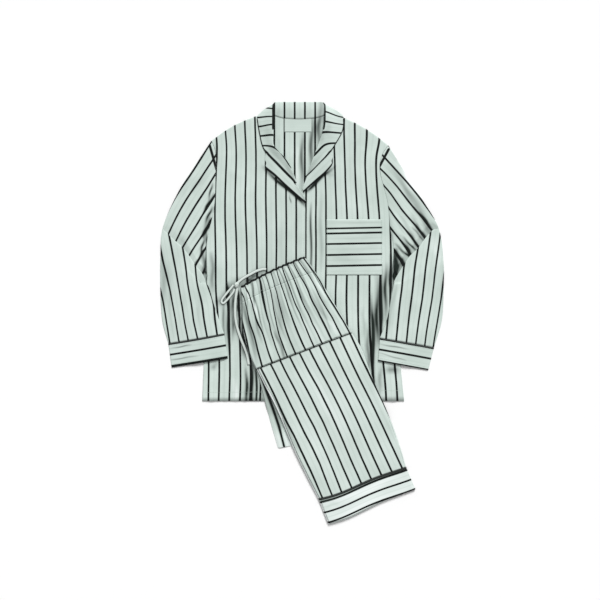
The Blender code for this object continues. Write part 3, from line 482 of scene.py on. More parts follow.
# Upper x, y and lower x, y, from the gorge down.
LAPEL_RIGHT = (
    (-88.6, 371, -89, 353), (-85.5, 379.4, -86.4, 345.5), (-64, 356.7, -64, 327.5), (-41, 333.2, -39, 304),
    (-20, 311, -17, 284.5), (-5, 296, -2, 271.5), (9.3, 268, 9, 262.5))
LAPEL_LEFT = (
    (73.6, 371, 74, 360.5), (69.5, 379.2, 70.4, 352.5), (53.5, 365.5, 55, 335), (35, 346.5, 36, 318.5),
    (19.5, 330.5, 20, 304.5), (9.5, 319, 8.5, 294), (0.8, 299, 3, 288.5))
LAPEL_ROLL, LAPEL_SINK = 1.4, 0.6        # how far the break rises, and how far it sinks by the collar
UNDER_COLLAR = 6.5
for name, table, gorge_end, bold, on_right in (("lapel_right", LAPEL_RIGHT, 4, 0.36, True),
                                               ("lapel_left", LAPEL_LEFT, 5, 0.44, False)):
    at = np.concatenate([np.linspace(0, 1, 9)[:-1] ** 1.6, np.linspace(1, 6, 60)])
    line = through(table, at)
    # The upper edge reaches under the collar, to the gorge seam.
    up = (line[:, :2] - line[:, 2:]) / np.linalg.norm(line[:, :2] - line[:, 2:], axis=-1, keepdims=True)
    under = UNDER_COLLAR * smooth(0.4, 1.2, at) * (1 - smooth(gorge_end - 0.5, gorge_end + 0.3, at))
    line[:, :2] += up * under[:, None]
    share = np.linspace(0, 1, 22)[None, :, None]
    plan = line[:, None, :2] * (1 - share) + line[:, None, 2:] * share
    by_collar = 1 - smooth(gorge_end - 0.2, gorge_end + 0.9, at)[:, None]
    roll = (1 - smooth(0, 0.6, share[..., 0])) * (LAPEL_ROLL * (1 - by_collar) - LAPEL_SINK * by_collar)
    lap = LAP * smooth(LAP_FROM, LAP_TO, plan[..., 0]) * on_right
    z = FRONT_Z + lap + STEP + 0.15 + ripples(plan[..., 0], plan[..., 1], 31, UNEVEN) + roll
    # The lower edge and the tip carry a dark line, the satin's stripe at the edge made bolder by bold as painted
    # shadow, and the whole facing gets a trace of painted shade.
    width = np.linalg.norm(line[:, 2:] - line[:, :2], axis=-1)[:, None]
    end = np.linalg.norm(plan - plan[:1], axis=-1)
    made = cloth(name + "_facing", with_height(plan, z), 0.1 + 0.78 * share[..., 0], plan[..., 0],
                 body_satin, edge=np.minimum(width * (1 - share[..., 0]) * bold, 0.7 * end), depth=0.06)
    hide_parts(name)

# ---------------------------------------------------------------------------------------------
# Collar. One strip folded along its roll: the stand rises from the neck seam, and the fall turns over it
# onto the fronts. The satin runs round the neck, so its stripes cross the leaves and stand up behind.
COLLAR_ROLL = 7         # height of the roll over the fronts
# Outer edge x, y, roll x, y, seam x, y, share that lies forward, and share of the roll's height.
COLLAR = (
    (-18.5, 313.5, -13, 311.5, -16.0, 312.5, 1, 0.25), (-38, 332.5, -24, 343, -27.6, 340.8, 1, 0.5),
    (-61, 356.5, -40, 370, -44.5, 367, 1, 0.75), (-85, 382, -57, 388, -62, 384, 1, 0.9),
    (-96, 402, -68.4, 404, -73.4, 403, 1, 1), (-102.5, 430, -68.6, 430, -74.2, 430, 1, 1),
    (-107, 456, -68.4, 456, -74.6, 456, 1, 1), (-107.5, 471, -68.2, 476, -74, 470, 1, 1),
    (-99, 480.5, -68.6, 492, -70, 475, 0.8, 1), (-86, 490.5, -67, 502.5, -66, 474, 0.4, 1),
    (-71, 489, -60, 504.6, -60, 471.5, 0.1, 1), (-52, 475.5, -44, 504.8, -44, 467.5, 0, 1),
    (-7.5, 471, -7.5, 504.8, -7.5, 465, 0, 1), (37, 475.5, 29, 504.8, 29, 467.5, 0, 1),
    (56, 490, 45, 504.6, 45.5, 471.5, 0.1, 1), (71, 491.5, 52.5, 502.5, 51.5, 474, 0.4, 1),
    (90, 480.5, 53.6, 492, 55.5, 475, 0.8, 1), (98.5, 471, 53.3, 476, 59, 470, 1, 1),
    (100.5, 452, 52.5, 455, 58.6, 453, 1, 1), (96, 432, 48.5, 432, 54.6, 431, 1, 1),
    (80, 404, 39.8, 405.6, 45.4, 404, 1, 1), (65, 381.5, 29, 377, 34, 376, 1, 0.9),
    (41, 357, 19, 350, 22.8, 350.2, 1, 0.7), (20.5, 336, 12, 334.5, 14.6, 334.6, 1, 0.4),
    (8.5, 325, 4.5, 322, 6.6, 323, 1, 0.25))
# Points x, y on the stripes over each leaf, which are counted from the gorge.
LEAF_RIGHT = {
    0: ((-88.8, 382), (-52.8, 346), (-15.4, 312)), 1: ((-93.6, 400), (-70, 398), (-42, 373), (-24, 346)),
    2: ((-100.8, 424), (-68.5, 426.5)), 3: ((-105.6, 446.4), (-70, 452.6)), 4: ((-107, 468), (-69.6, 470.4)),
    5: ((-84, 492), (-67.7, 488))}
LEAF_LEFT = {
    0: ((66, 382), (37, 353), (7.2, 324)), 1: ((79.2, 406), (55.2, 404), (43, 391), (31, 378)),
    2: ((92.6, 431.5), (47.8, 433)), 3: ((97.2, 453), (55.2, 458.4)), 4: ((98.4, 468), (58.3, 482.6)),
    5: ((84, 492), (62, 502))}
line = through(COLLAR, np.linspace(0, len(COLLAR) - 1, 230))
outer, roll, seam = line[:, :2], line[:, 2:4], line[:, 4:6]
forward, puff = np.clip(line[:, 6:7], 0, 1), line[:, 7:8] * COLLAR_ROLL
# Seven places of the section: share of its way in plan, height on the front and height tucked behind.
to_roll = np.array([0, 0.4, 0.78, 0.97, 1.0, 1.0, 1.0])
to_seam = np.array([0, 0, 0, 0, 0, 0.45, 1.0])
lift = np.array([0.06, 0.14, 0.75, 1.0, 0.62, 0.28, 0])
behind = np.array([0, 0, 0.05, 0.5, 1.5, 2.9, 0.95]) + BACK_Z
plan = outer[:, None] + (roll - outer)[:, None] * to_roll[:, None] + (seam - roll)[:, None] * to_seam[:, None]
on_right = outer[:, :1] < NECK_CENTRE_X
base = FRONT_Z + STEP + LAP * smooth(LAP_FROM, LAP_TO, plan[..., 0]) * on_right
front = base + lift * puff
front[:, -1] = base[:, -1] - STEP
front[:, -2] = np.maximum(front[:, -2] - 0.6, front[:, -1] + 0.8)
section = np.concatenate([plan, (front * forward + behind * (1 - forward))[..., None]], axis=-1)
at = np.linspace(0, 6, 31)
section = through(section.transpose(1, 0, 2), at).transpose(1, 0, 2)
x, y = section[..., 0], section[..., 1]
section[..., 2] += ripples(x, y, 31, UNEVEN) * forward
leaf = np.where(x < NECK_CENTRE_X, woven(LEAF_RIGHT, x, y, 20), woven(LEAF_LEFT, x, y, 20))
on_leaf = (at[None] < 3.6) & (forward > 0.3)
from_outer = np.linalg.norm(section - section[:, :1], axis=-1)
from_roll = np.linalg.norm(section - section[:, 15:16], axis=-1)
gorge = smooth(398, 386, y)
# A dark line runs along the fall's outer edge up to the shoulders, bolder towards the gorge, and along its roll
# above them: the satin's dark stripe at the edge, with painted shadow beside it.
edge = np.minimum(from_outer * (1 - 0.62 * gorge) + 12 * smooth(464, 474, y),
                  from_roll + 12 * smooth(442, 428, y))
edge = np.where(forward > 0.3, edge, 9)
# Painted shade on the collar, in its folds and on its inner side.
PAINTED_SHADE_COLLAR = (
    (-92, 484, -88, 392, 13, 0.14), (44, 520, 44, 400, 7, 0.7), (-58, 500, -58, 455, 4, 0.15),
    (-104, 470, -100, 420, 6, 0.2), (60, 470, 62, 420, 7, 0.25), (32, 372, 8, 326, 5, 0.25),
    (-44, 366, -16, 320, 4, 0.2))
collar = cloth("collar_strip", section, np.where(on_leaf, leaf, (x - BACK_STRIPE_X) / BACK_PITCH), y,
               body_satin, edge=edge, depth=folds(PAINTED_SHADE_COLLAR, x, y))
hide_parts("collar")

# ---------------------------------------------------------------------------------------------
# Sleeves, each a flattened tube of the satin sewn into its armhole. At the elbow the cloth of the
# forearm laps over the upper arm, where it was folded to bring the cuff to the front.
ELBOW = 3       # the tables' row at the elbow
# Outer edge x, y, middle x, y, inner edge x, y, height it rests at by the body, and puff.
SLEEVE_RIGHT = (
    (-215, 413, -206, 294, -227, 172, 0, 0), (-256.5, 353, -231.5, 253, -231.3, 146, 0.4, 1.6),
    (-299, 285.6, -263, 197, -231.5, 107, 1.6, 1.8), (-333.2, 201.6, -281, 143, -230.8, 72, 3.1, 1.6),
    (-339.2, 132, -284, 98, -223, 60, 3.1, 2.6), (-339.3, 55, -277, 41, -212, 21.6, 3.1, 2.0),
    (-335, -17, -267, -15, -199, -17, 3.1, 1.8), (-320, -73, -254, -62, -187, -49.5, 3.1, 1.0))
SLEEVE_LEFT = (
    (204.5, 402, 202, 272, 218, 158, 0, 0), (240, 348, 220, 249, 222, 141, 0.3, 1.6),
    (286, 276, 255, 206, 221.5, 114, 0.8, 1.8), (329, 197, 287, 155, 221, 85, 1.6, 1.6),
    (339.1, 122.4, 286, 100, 219.5, 66, 3.1, 2.6), (339.3, 55, 280, 51, 215, 42, 3.1, 2.0),
    (335, -17, 270, -13, 205, -12, 3.1, 1.8), (316, -83, 252, -71, 187, -60, 3.1, 1.0))
# Where the forearm's edge lies, from the outer to the inner edge.
ELBOW_RIGHT = (
    (-334, 203), (-320, 187), (-302.4, 170.4), (-287, 157), (-271.2, 136.8), (-256.8, 115.2), (-241, 96),
    (-230.8, 75))
ELBOW_LEFT = (
    (327.5, 203), (313, 197.5), (295.2, 177.6), (278.4, 154.6), (259, 136), (244.6, 115.2), (232, 95),
    (221, 76))
CUFF_RIGHT = (-312.5, -130.5, -245, -120, -178, -109, 3.1, 0.8)
CUFF_LEFT = (302.5, -137, 243, -126, 182.5, -115, 3.1, 0.8)
# Points x, y on the stripes over the upper arm, counted from its outer edge, and over the forearm,
# counted from its inner edge.
UPPER_RIGHT = {
    0: ((-228.8, 393.9), (-268.8, 328.8), (-307.2, 271.2), (-324, 237)),
    1: ((-210.5, 370.6), (-236.2, 332.9), (-267.1, 288.2), (-287.8, 254.2), (-308.2, 216.2), (-321.4, 187.2)),
    2: ((-208.8, 332.9), (-224.2, 305.5), (-249.8, 267.8), (-279.1, 219.8), (-302.2, 170.2)),
    3: ((-210.5, 279.8), (-225.8, 252.2), (-249.8, 214.6), (-272.2, 180.2), (-285.8, 159.8)),
    4: ((-219.1, 223.2), (-225.8, 206.2), (-243.1, 178.6), (-270.5, 137.5)),
    5: ((-230.4, 158.4), (-255.4, 112.8))}
LOWER_RIGHT = {
    0: ((-231, 77), (-212, 31), (-208.6, -16.8), (-201.6, -62)),
    -1: ((-255.4, 113), (-242, 31), (-234.7, -16.8), (-226.6, -62)),
    -2: ((-285.6, 158), (-277, 102), (-266.6, 31), (-260.9, -16.8), (-249.6, -62)),
    -3: ((-317, 176), (-306, 122), (-290.2, 31), (-282.5, -16.8), (-273.6, -62)),
    -4: ((-334, 124), (-312.5, 31), (-302.4, -16.8), (-295.2, -66)),
    -5: ((-333, 31), (-326, -17), (-317.8, -68))}
UPPER_LEFT = {
    0.3: ((222, 375), (238, 357), (276, 312)),
    1: ((201, 370), (225, 342.5), (251.8, 314.4), (275.8, 286.3), (291.8, 263.8), (312, 233)),
    2: ((183.8, 347.8), (198.5, 335.8), (214.3, 317), (238.3, 287.8), (259.7, 261), (291.8, 226.3),
        (311.8, 197)),
    3: ((190.3, 314.4), (211.7, 289), (238.3, 247.7), (257, 226.3), (275.8, 205), (297, 178.3)),
    4: ((205.9, 257), (225, 226.3), (243.8, 205), (262.3, 181), (281, 155.8)),
    5: ((210.5, 206.4), (225, 187.7), (241, 167.8), (261, 138.5)),
    6: ((222.5, 150.5), (232, 134), (244.2, 112))}
LOWER_LEFT = {
    0: ((214, 60), (209, 31), (201.6, -62)), -1: ((243.8, 110.4), (235.4, 31), (225.6, -62)),
    -2: ((277.4, 151), (261.8, 31), (251, -70)), -3: ((306.2, 178), (287.8, 31), (272, -74)),
    -4: ((325, 141), (316.8, 74), (311.8, 31), (295, -79)), -5: ((338, 74), (331.2, 22), (314.4, -79))}
# Folds: from x, y to x, y, half-width and height, and the same for the shade painted in their depth, with
# painted light where below 0.
FOLDS_ARM_RIGHT = (
    (-206, 262, -262, 176, 7, 2.6), (-213, 205, -243, 150, 6, 3.0), (-262, 352, -300, 250, 12, 1.6),
    (-212, 300, -236, 240, 5, 1.6), (-214, 240, -250, 168, 4, 1.8), (-226, 168, -246, 122, 4, 2.2),
    (-232, 372, -262, 318, 8, 1.0))
FOLDS_ARM_LEFT = (
    (216, 215, 268, 148, 7, 2.8), (224, 175, 255, 135, 5, 2.6), (206, 300, 280, 205, 10, 1.8),
    (250, 352, 300, 262, 12, 1.6), (212, 248, 262, 172, 4, 1.8), (228, 150, 250, 118, 4, 2.0),
    (200, 345, 262, 262, 7, 1.2), (232, 240, 285, 172, 5, 1.6))
FOLDS_FOREARM_RIGHT = (
    (-325, 170, -322, -30, 7, 1.4), (-268, 130, -250, -40, 9, 1.0), (-240, 88, -222, 10, 6, 1.2),
    (-300, 60, -284, -66, 8, 0.9))
FOLDS_FOREARM_LEFT = (
    (322, 176, 324, 0, 8, 1.3), (262, 130, 238, -40, 9, 1.0), (296, 165, 284, 40, 7, 0.9),
    (232, 84, 212, -30, 6, 1.2))
PAINTED_SHADE_ARM_RIGHT = (
    (-214, 314, -226, 264, 2.4, 1.2), (-209, 290, -238, 238, 2.8, 1.5), (-214, 258, -237, 202, 3.2, 1.4),
    (-216, 232, -239, 178, 4, 2.2), (-228, 200, -229, 60, 3, 1.9), (-233, 184, -245, 134, 3, 1.2),
    (-230, 158, -260, 110, 2.6, 1.3), (-236, 154, -234, 84, 5.5, 1.2), (-222, 345, -268, 285, 8, 0.25),
    (-296, 190, -262, 128, 8, 0.2), (-262, 330, -300, 268, 7, 0.15))
PAINTED_SHADE_ARM_LEFT = (
    (224, 156, 222, 54, 8, 2.2), (268, 262, 318, 176, 6, 0.7), (258, 240, 304, 158, 5, 0.5),
    (214, 388, 286, 292, 5, 0.5), (222, 158, 250, 102, 4.5, 1.6), (236, 178, 270, 126, 4.2, 1.4),
    (250, 200, 290, 144, 3.6, 1.3), (272, 216, 305, 166, 3.2, 1.2), (280, 244, 319, 192, 3, 1.1),
    (262, 208, 296, 168, 2.2, 1.1), (240, 184, 281, 141, 2.4, 1.2), (220, 168, 264, 128, 2.4, 1.2),
    (200, 362, 300, 236, 7, 0.45), (240, 300, 300, 224, 5, 0.3), (226, 366, 304, 260, 9, -1.5),
    (212, 226, 218, 120, 4, 0.4))
PAINTED_SHADE_FOREARM_RIGHT = (
    (-336, 170, -330, 0, 8, 0.4), (-322, 130, -310, -66, 5, 0.25), (-252, 60, -240, -60, 6, 0.18),
    (-290, 80, -276, -50, 5, 0.12), (-221, 40, -200, -50, 5, 0.2))
PAINTED_SHADE_FOREARM_LEFT = (
    (226, 76, 200, -66, 5, 0.35), (339, 130, 337, -20, 6, 0.35), (262, 60, 250, -50, 6, 0.12),
    (316, 190, 330, 90, 8, -0.35), (244, 96, 226, 0, 5, -0.3))
PAINTED_SHADE_CUFFS = (
    (-320, -86, -262, -75.5, 1.5, 0.9), (-319, -113.5, -246, -101.5, 1.5, 0.9),
    (184, -74.5, 258, -87, 1.5, 0.8), (182, -95, 252, -114.5, 1.5, 0.8))
# The forearm's lap: millimetres past its edge, and millimetres above the upper arm.
LAP_SECTION = (
    (-9, 0), (-4, 0), (1, 0), (6, 0), (7.2, 0.1), (7.9, 0.5), (7.2, 0.9), (5, 1.0), (2, 1.1), (0.4, 1.2),
    (-0.4, 1.6), (-0.5, 2.1), (0.2, 2.6), (1.6, 2.9), (4, 3.0), (8, 3.0), (13, 3.0))
RISE_FROM, RISE_TO = 0.2, 0.5     # share across a sleeve over which it climbs onto the body
SLEEVE_OUT = 2.2                  # the sleeve's wall starts this far outside the armhole
LAP_ROW, RAMP_BEFORE, RAMP_AFTER = 44, 12, 38        # the lap's first row, and the rows it fades in over
CLEAR = 0.03        # between a piece and the surface it rests on
HOLLOW = 1.5        # from a flattened tube's lower wall to its upper one, at the edges
PIPING, CUFF_PITCH, CUFF_DARK_EDGE = 3.2, 27.6, 1.0


def sleeve_rows(table, armhole, elbow, shares):
    """The table's rows in plan, each a curve through its outer, middle and inner point, read at shares.
    The armhole and the elbow's edge take the place of their rows."""
    table = np.asarray(table, float)
    points = table[:, :6].reshape(-1, 3, 2)
    s = shares[None, :, None]
    sampled = (points[:, :1] * (1 - s) * (1 - 2 * s) + points[:, 1:2] * 4 * s * (1 - s)
               + points[:, 2:] * s * (2 * s - 1))
    if armhole is not None:
        outward = SLEEVE_OUT * np.sign(table[0, 0])
        sampled[0] = through(armhole, SHOULDER - (SHOULDER - ARMPIT) * shares) + np.array((outward, 0))
        sampled[ELBOW] = through(elbow, (len(elbow) - 1) * shares)
    return sampled, table[:, 6:]


def from_segment(x, y, x0, y0, x1, y1):
    """Distance to the segment from x0, y0 to x1, y1."""
    run_x, run_y = x1 - x0, y1 - y0
    share = np.clip(((x - x0) * run_x + (y - y0) * run_y) / (run_x**2 + run_y**2), 0, 1)
    return np.hypot(x - x0 - share * run_x, y - y0 - share * run_y)


def ring_shares(columns):
    """Shares across a flattened tube, close together at its two folded edges."""
    return np.concatenate([[0, 0.004, 0.014], np.linspace(0.035, 0.965, columns), [0.986, 0.996, 1]])


def flat_tube(plan, shares, rest, puff, extra, upper_plan=None, wall=WALL):
    """Rings round a flattened tube: lower wall, folded edge, upper wall and the other edge."""
    low = wall / 2 + CLEAR + rest * smooth(RISE_FROM, RISE_TO, shares)[None]
    high = low + HOLLOW + puff * np.sin(np.pi * shares)[None] ** 0.5 + extra
    lower, upper = with_height(plan, low), with_height(plan if upper_plan is None else upper_plan, high)
    edges = with_height(plan, low + HOLLOW / 2)
    return np.concatenate([edges[:, :1], lower[:, 1:-1], edges[:, -1:], upper[:, 1:-1][:, ::-1]], axis=1)


def round_tube(value):
    """A value for each share carried round the same rings."""
    return np.concatenate([value, value[:, 1:-1][:, ::-1]], axis=1)


# Dark cotton piping, a bias strip folded over a cord, whose plain weave shows as a fine grain.
piping_cloth, tree, shader = new_finish("dark_cotton_piping")
grain = add(tree, "TexNoise", {"Vector": add(tree, "TexCoord", out="Object"), "Scale": 900.0, "Detail": 2.0})
fill(shader, {"Base Color": add(tree, "Mix", {0: grain, 6: linear("#060B09"), 7: linear("#232B28")}, **COLOURS),
              "Normal": add(tree, "Bump", {"Strength": 0.5, "Distance": 0.0003, "Height": grain}),
              "Roughness": 0.6})
shares = ring_shares(74)
on_top = slice(3 - len(shares), -1)         # a ring's points on the upper wall
lap_along, lap_up = np.array(LAP_SECTION).T
# Rows down the sleeve, many of them in the lap at the elbow.
places = np.concatenate([np.linspace(0, 2.86, LAP_ROW), np.linspace(2.93, 3.07, len(LAP_SECTION)),
                         np.linspace(3.16, 7, 62)])
lap_rows = np.arange(LAP_ROW, LAP_ROW + len(LAP_SECTION))
ramp = np.concatenate([np.linspace(0, 1, RAMP_BEFORE) ** 2 * lap_along[0], lap_along,
                       lap_along[-1] * np.linspace(1, 0, RAMP_AFTER) ** 2])
on_forearm = (np.arange(len(places)) > LAP_ROW + 5)[:, None]
for (side, lap_height, lap_shade, seam, table, armhole, elbow, creases, long_folds, upper, lower, painted_shade_arm,
     painted_shade_forearm, cuff_end, area) in (
        ("right", 0.35, 0.12, (-222, 404, -205, 344), SLEEVE_RIGHT, SIDE_RIGHT, ELBOW_RIGHT, FOLDS_ARM_RIGHT,
         FOLDS_FOREARM_RIGHT, UPPER_RIGHT, LOWER_RIGHT, PAINTED_SHADE_ARM_RIGHT, PAINTED_SHADE_FOREARM_RIGHT, CUFF_RIGHT,
         0.0940),
        ("left", 0.5, 0.3, (208, 393, 183.5, 347), SLEEVE_LEFT, SIDE_LEFT, ELBOW_LEFT, FOLDS_ARM_LEFT,
         FOLDS_FOREARM_LEFT, UPPER_LEFT, LOWER_LEFT, PAINTED_SHADE_ARM_LEFT, PAINTED_SHADE_FOREARM_LEFT, CUFF_LEFT,
         0.0945)):
    sampled, heights = sleeve_rows(table, armhole, elbow, shares)
    plan = through(sampled, places)
    level = straight(heights, places)
    run = np.gradient(sampled[ELBOW], axis=0)
    beyond = np.stack([-run[:, 1], run[:, 0]], axis=-1) / np.linalg.norm(run, axis=-1, keepdims=True)
    beyond = beyond * np.sign(((sampled[ELBOW + 1] - sampled[ELBOW]) * beyond).sum(axis=-1).mean())
    fade = smooth(0, 0.12, shares) * (1 - smooth(0.93, 1, shares))
    # The lap's own offset replaces the even run of the rows, and fades into it on both sides.
    shift = np.zeros(len(places))
    shift[LAP_ROW - RAMP_BEFORE:][:len(ramp)] = ramp
    even = through(sampled, np.where((places > 2.93) & (places < 3.07), ELBOW, places))
    upper_plan = plan + (even - plan) * fade[None, :, None] + (shift[:, None] * fade)[..., None] * beyond[None]
    up = lap_height * np.interp(np.arange(len(places)), lap_rows, lap_up)
    up = up * (1 - smooth(ELBOW + 0.1, ELBOW + 2.4, places))
    x, y = upper_plan[..., 0], upper_plan[..., 1]
    inside = np.sin(np.pi * shares)[None] ** 0.5
    before = (smooth(0, 0.8, places) * (1 - smooth(ELBOW - 0.4, ELBOW - 0.12, places)))[:, None]
    after = smooth(ELBOW + 0.15, ELBOW + 0.6, places)[:, None]
    extra = (folds(creases, x, y) * before + folds(long_folds, x, y) * after + up[:, None]
             + ripples(x, y, 27, 0.3) * smooth(0, 0.5, places)[:, None]) * inside
    rings = flat_tube(plan, shares, level[:, :1], level[:, 1:], extra, upper_plan)
    stripe = np.where(on_forearm, woven(lower, x, y, 30), woven(upper, x, y, 30))
    # The armhole's seam shows as a dark line at the top of the shoulder alone: the seam, with painted shadow.
    from_armhole = 0.7 * from_segment(x, y, *seam)
    # Painted shade on the upper arm just before the forearm's lap.
    painted_shade_under_lap = lap_shade * smooth(ELBOW - 0.2, ELBOW - 0.03, places)[:, None]
    depth = np.where(on_forearm, folds(painted_shade_forearm, x, y), folds(painted_shade_arm, x, y) + painted_shade_under_lap)
    sleeve = cloth("sleeve_tube_" + side, rings, round_tube(stripe), round_tube(y), body_satin,
                   edge=round_tube(from_armhole), depth=round_tube(depth), ring=True)
    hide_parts("sleeve_" + side)

    ends = np.array([table[-1], cuff_end], float)
    sampled, heights = sleeve_rows(ends, None, None, shares)
    length = np.linalg.norm(sampled[1] - sampled[0], axis=-1).mean()
    for name, start, stop, count, wall, finish, slot, old in (
            ("piping_cord_", 0.3, 0.5 + PIPING, 5, 1.6, piping_cloth, "dark_piping", "cuff_piping_"),
            ("cuff_band_", 0.9 + PIPING, length, 44, WALL, body_satin, "striped_cotton", "cuff_")):
        at = np.linspace(start, stop, count)
        share = (at / length)[:, None, None]
        plan = sampled[0] * (1 - share) + sampled[1] * share
        level = straight(heights, at / length)
        crown = 0.5 * np.sin(np.pi * np.linspace(0, 1, count))[:, None] * (wall > WALL)
        soft = (ripples(plan[..., 0], plan[..., 1], 20, 0.25) * (wall <= WALL) + crown) * inside
        rings = flat_tube(plan, shares, level[:, :1], level[:, 1:], soft, wall=wall)
        along = np.broadcast_to(at[:, None], plan.shape[:2])
        made = cloth(name + side, rings, round_tube(along / CUFF_PITCH), round_tube(plan[..., 0]), finish,
                     edge=round_tube(length - CUFF_DARK_EDGE - along), ring=True, wall=wall, slot=slot,
                     depth=round_tube(folds(PAINTED_SHADE_CUFFS, plan[..., 0], plan[..., 1])))
        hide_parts(old + side)
        if wall <= WALL:
            shirt_seams += [rings[2, on_top], rings[-7, on_top]]
stitching("shirt_stitching", shirt_seams)

# ---------------------------------------------------------------------------------------------
# Trousers, folded in half along the seat, then tucked back once across the leg. The hidden layers are one
# core with the folds' rounded edges, and the top layer lies over it in two stretches that meet at the tuck.

# Left edge x, y, right edge x, y, height of the top, and height of the gathers.
WAISTBAND = (
    (-147, 64, 5.5, 136, 12.2, 2.0), (-145, 44, 20, 117, 12.8, 1.8), (-144, 25.5, 31.4, 100, 12.2, 2.3))
LEG_UPPER = (
    (-144, 25.3, 31.5, 99.8, 12.2, 2.3), (-140, -46, 62, 48, 13.4, 1.3), (-124, -101, 94, -5, 13.9, 0.4),
    (-110, -134, 118, -47, 15.0, 0))
LEG_LOWER = (
    (-111.7, -128.4, 115.2, -42.1, 10.4, 0), (-89, -174, 142, -84, 10.4, 0), (-57, -238, 170, -158, 9.8, 0),
    (-20, -326, 206, -240, 8.6, 0), (14, -396, 233, -314, 8.0, 0), (39.2, -444.5, 249.2, -368.5, 7.4, 0))
HEM_BAND = (
    (41, -449, 251.4, -373.2, 7.3, 0), (52, -478, 262, -399, 7.2, 0), (63.4, -506.8, 272.6, -423, 7.0, 0))
GATHERS, WAIST_BOW, HEM_WAVE, HEM_WIDE = 12, 4, 5.0, 210
ALL_WAVY = (-2, -1)                                      # the wave is full from the first row
# Painted shade: a dark line at the waist's folded edge and at the tuck. Painted light: the paler left folded
# edge.
PAINTED_SHADE_ENDS = {"waist_casing": 4.3, "leg_low_stretch": 5.8}   # how far a dark line reaches in from the first row
SIDE_PAINTED_LIGHT = 0.9                                          # how much paler the left folded edge is
# Points x, y on the stripes of the upper and the lower stretch, counted from their left edges.
ON_UPPER = {
    0: ((-152, 62.4), (-144, 49.6), (-136.8, 33.6), (-132, 12.8), (-128, -8), (-118.8, -40.8), (-106.8, -86),
        (-94.8, -130.8)),
    1: ((-142.4, 69.6), (-132.8, 52.8), (-124.8, 33.6), (-117.6, 9.6), (-110.4, -14.4), (-104.8, -28.8),
        (-93.6, -50), (-82.8, -86), (-69.6, -122)),
    2: ((-100, 84.8), (-97.7, 67.2), (-94.4, 43.2), (-89.6, 20.8), (-84.8, 0), (-76.8, -25.6), (-67.7, -64.8),
        (-51.4, -110)),
    3: ((-89.6, 91.2), (-80, 70.4), (-73.6, 51.2), (-69.6, 27.2), (-66.4, 1.6), (-61.6, -27.2), (-55, -53),
        (-36, -103)),
    4: ((-75.2, 102.4), (-68.8, 80), (-66.4, 62.4), (-59.2, 36.8), (-54.4, 17.6), (-48, -4.8), (-41.6, -27.2),
        (-28.8, -67), (-15.4, -98)),
    5: ((-60.8, 115.2), (-59.2, 92.8), (-52.8, 75.2), (-44.8, 52.8), (-36.8, 30.4), (-30.4, 8), (-24, -11.2),
        (-4.8, -58.8), (8.6, -87.4)),
    6: ((-51.2, 116.8), (-43.2, 96), (-35.2, 73.6), (-25.6, 48), (-4.8, 1.2), (9.6, -34.8), (26.4, -75.4)),
    7: ((-36.8, 123.2), (-30, 104), (-21, 85), (-8, 49), (-3, 34), (7.5, 10), (24, -26), (46, -69)),
    8: ((-24, 128.6), (-5, 88), (14.5, 55), (33.5, 13), (66, -55)),
    9: ((-12.2, 130), (1.2, 110.6), (17, 90), (33.6, 60), (55.2, 16.8), (73.2, -10.8), (93.6, -52.8)),
    10: ((3, 132.5), (28, 98), (57, 48), (89, -4), (111, -42))}
ON_LOWER = {
    0: ((-94, -141), (-64, -201), (-40, -254), (-18.7, -294), (-2.6, -329), (13.3, -363), (48, -441)),
    1: ((-65.5, -141), (-42.7, -187), (-16, -241), (5.3, -286), (25.3, -323.5), (42.7, -361), (71, -434)),
    2: ((-38.6, -142), (-18.7, -179.5), (8, -233), (29.3, -273), (50.7, -321), (66.7, -358), (94, -427)),
    3: ((-10.6, -142), (13.4, -187), (40, -241), (61.3, -286), (82.7, -334), (117.3, -414)),
    4: ((17.4, -142), (40, -182), (66.6, -235.5), (90.7, -289), (118.7, -355.5), (143, -410)),
    6: ((41.8, -78.2), (83.8, -160.8), (191.3, -390.2)), 8: ((91.2, -58.8), (139.2, -160.8), (239.3, -370.3)),
    9: ((116.6, -52.8), (166, -157))}
# Folds: from x, y to x, y, half-width and height, and the same for the shade painted in their depth, with
# painted light where below 0.
FOLDS_UPPER = (
    (-64, 60, -34, -100, 9, -1.6), (-52, 60, -6, -96, 9, 2.0), (-5, 85, 62, -60, 8, 1.8),
    (38, 90, 100, -30, 9, -1.6), (-118, 40, -96, -120, 12, 1.4), (-128, 50, -92, -70, 4, 1.3),
    (-84, 78, -60, -60, 4, 1.2), (-30, 100, 6, -20, 4.5, 1.2), (14, 112, 70, -6, 5, 1.3),
    (20, 40, 84, -50, 5, -1.0), (-106, 60, -82, -60, 3.5, 0.9))
FOLDS_LOWER = (
    (-20, -130, 60, -330, 30, 1.0), (110, -90, 200, -300, 26, -0.8), (30, -80, 110, -250, 14, 0.7),
    (-60, -170, 20, -380, 9, 0.8), (150, -120, 226, -300, 8, 0.9))
PAINTED_SHADE_UPPER = (
    (-66, 70, -44, -70, 7.5, 0.45), (-66, -40, -36, -118, 4, 1.0), (-149, 62, -104, -128, 5, 0.7),
    (-121.5, 88, -112, 22, 1.9, 1.3), (-115, 44, -92, -48, 1.7, 1.0), (-46, 100, -20, 12, 5, 0.35),
    (-104, 90, 0, 132, 6, 0.35), (18, 66, 80, -56, 4, 0.35), (-18, 76, 20, -6, 1.6, 0.5),
    (2, 138, 32, 88, 4, 0.3), (-122, 30, -100, -60, 5, 0.3), (-14, 64, 8, 24, 3, 0.35),
    (46, 20, 70, -48, 1.6, 0.5), (60, -10, 88, -52, 5, -0.5), (70, 60, 104, -20, 8, -0.5),
    (-92, -60, -70, -116, 8, -0.2), (-136, 62, -100, -20, 3, -0.9), (20, 100, 60, 30, 6, -0.4),
    (-84, 70, -72, 0, 3, 0.2), (24, -20, 56, -80, 4, -0.4))
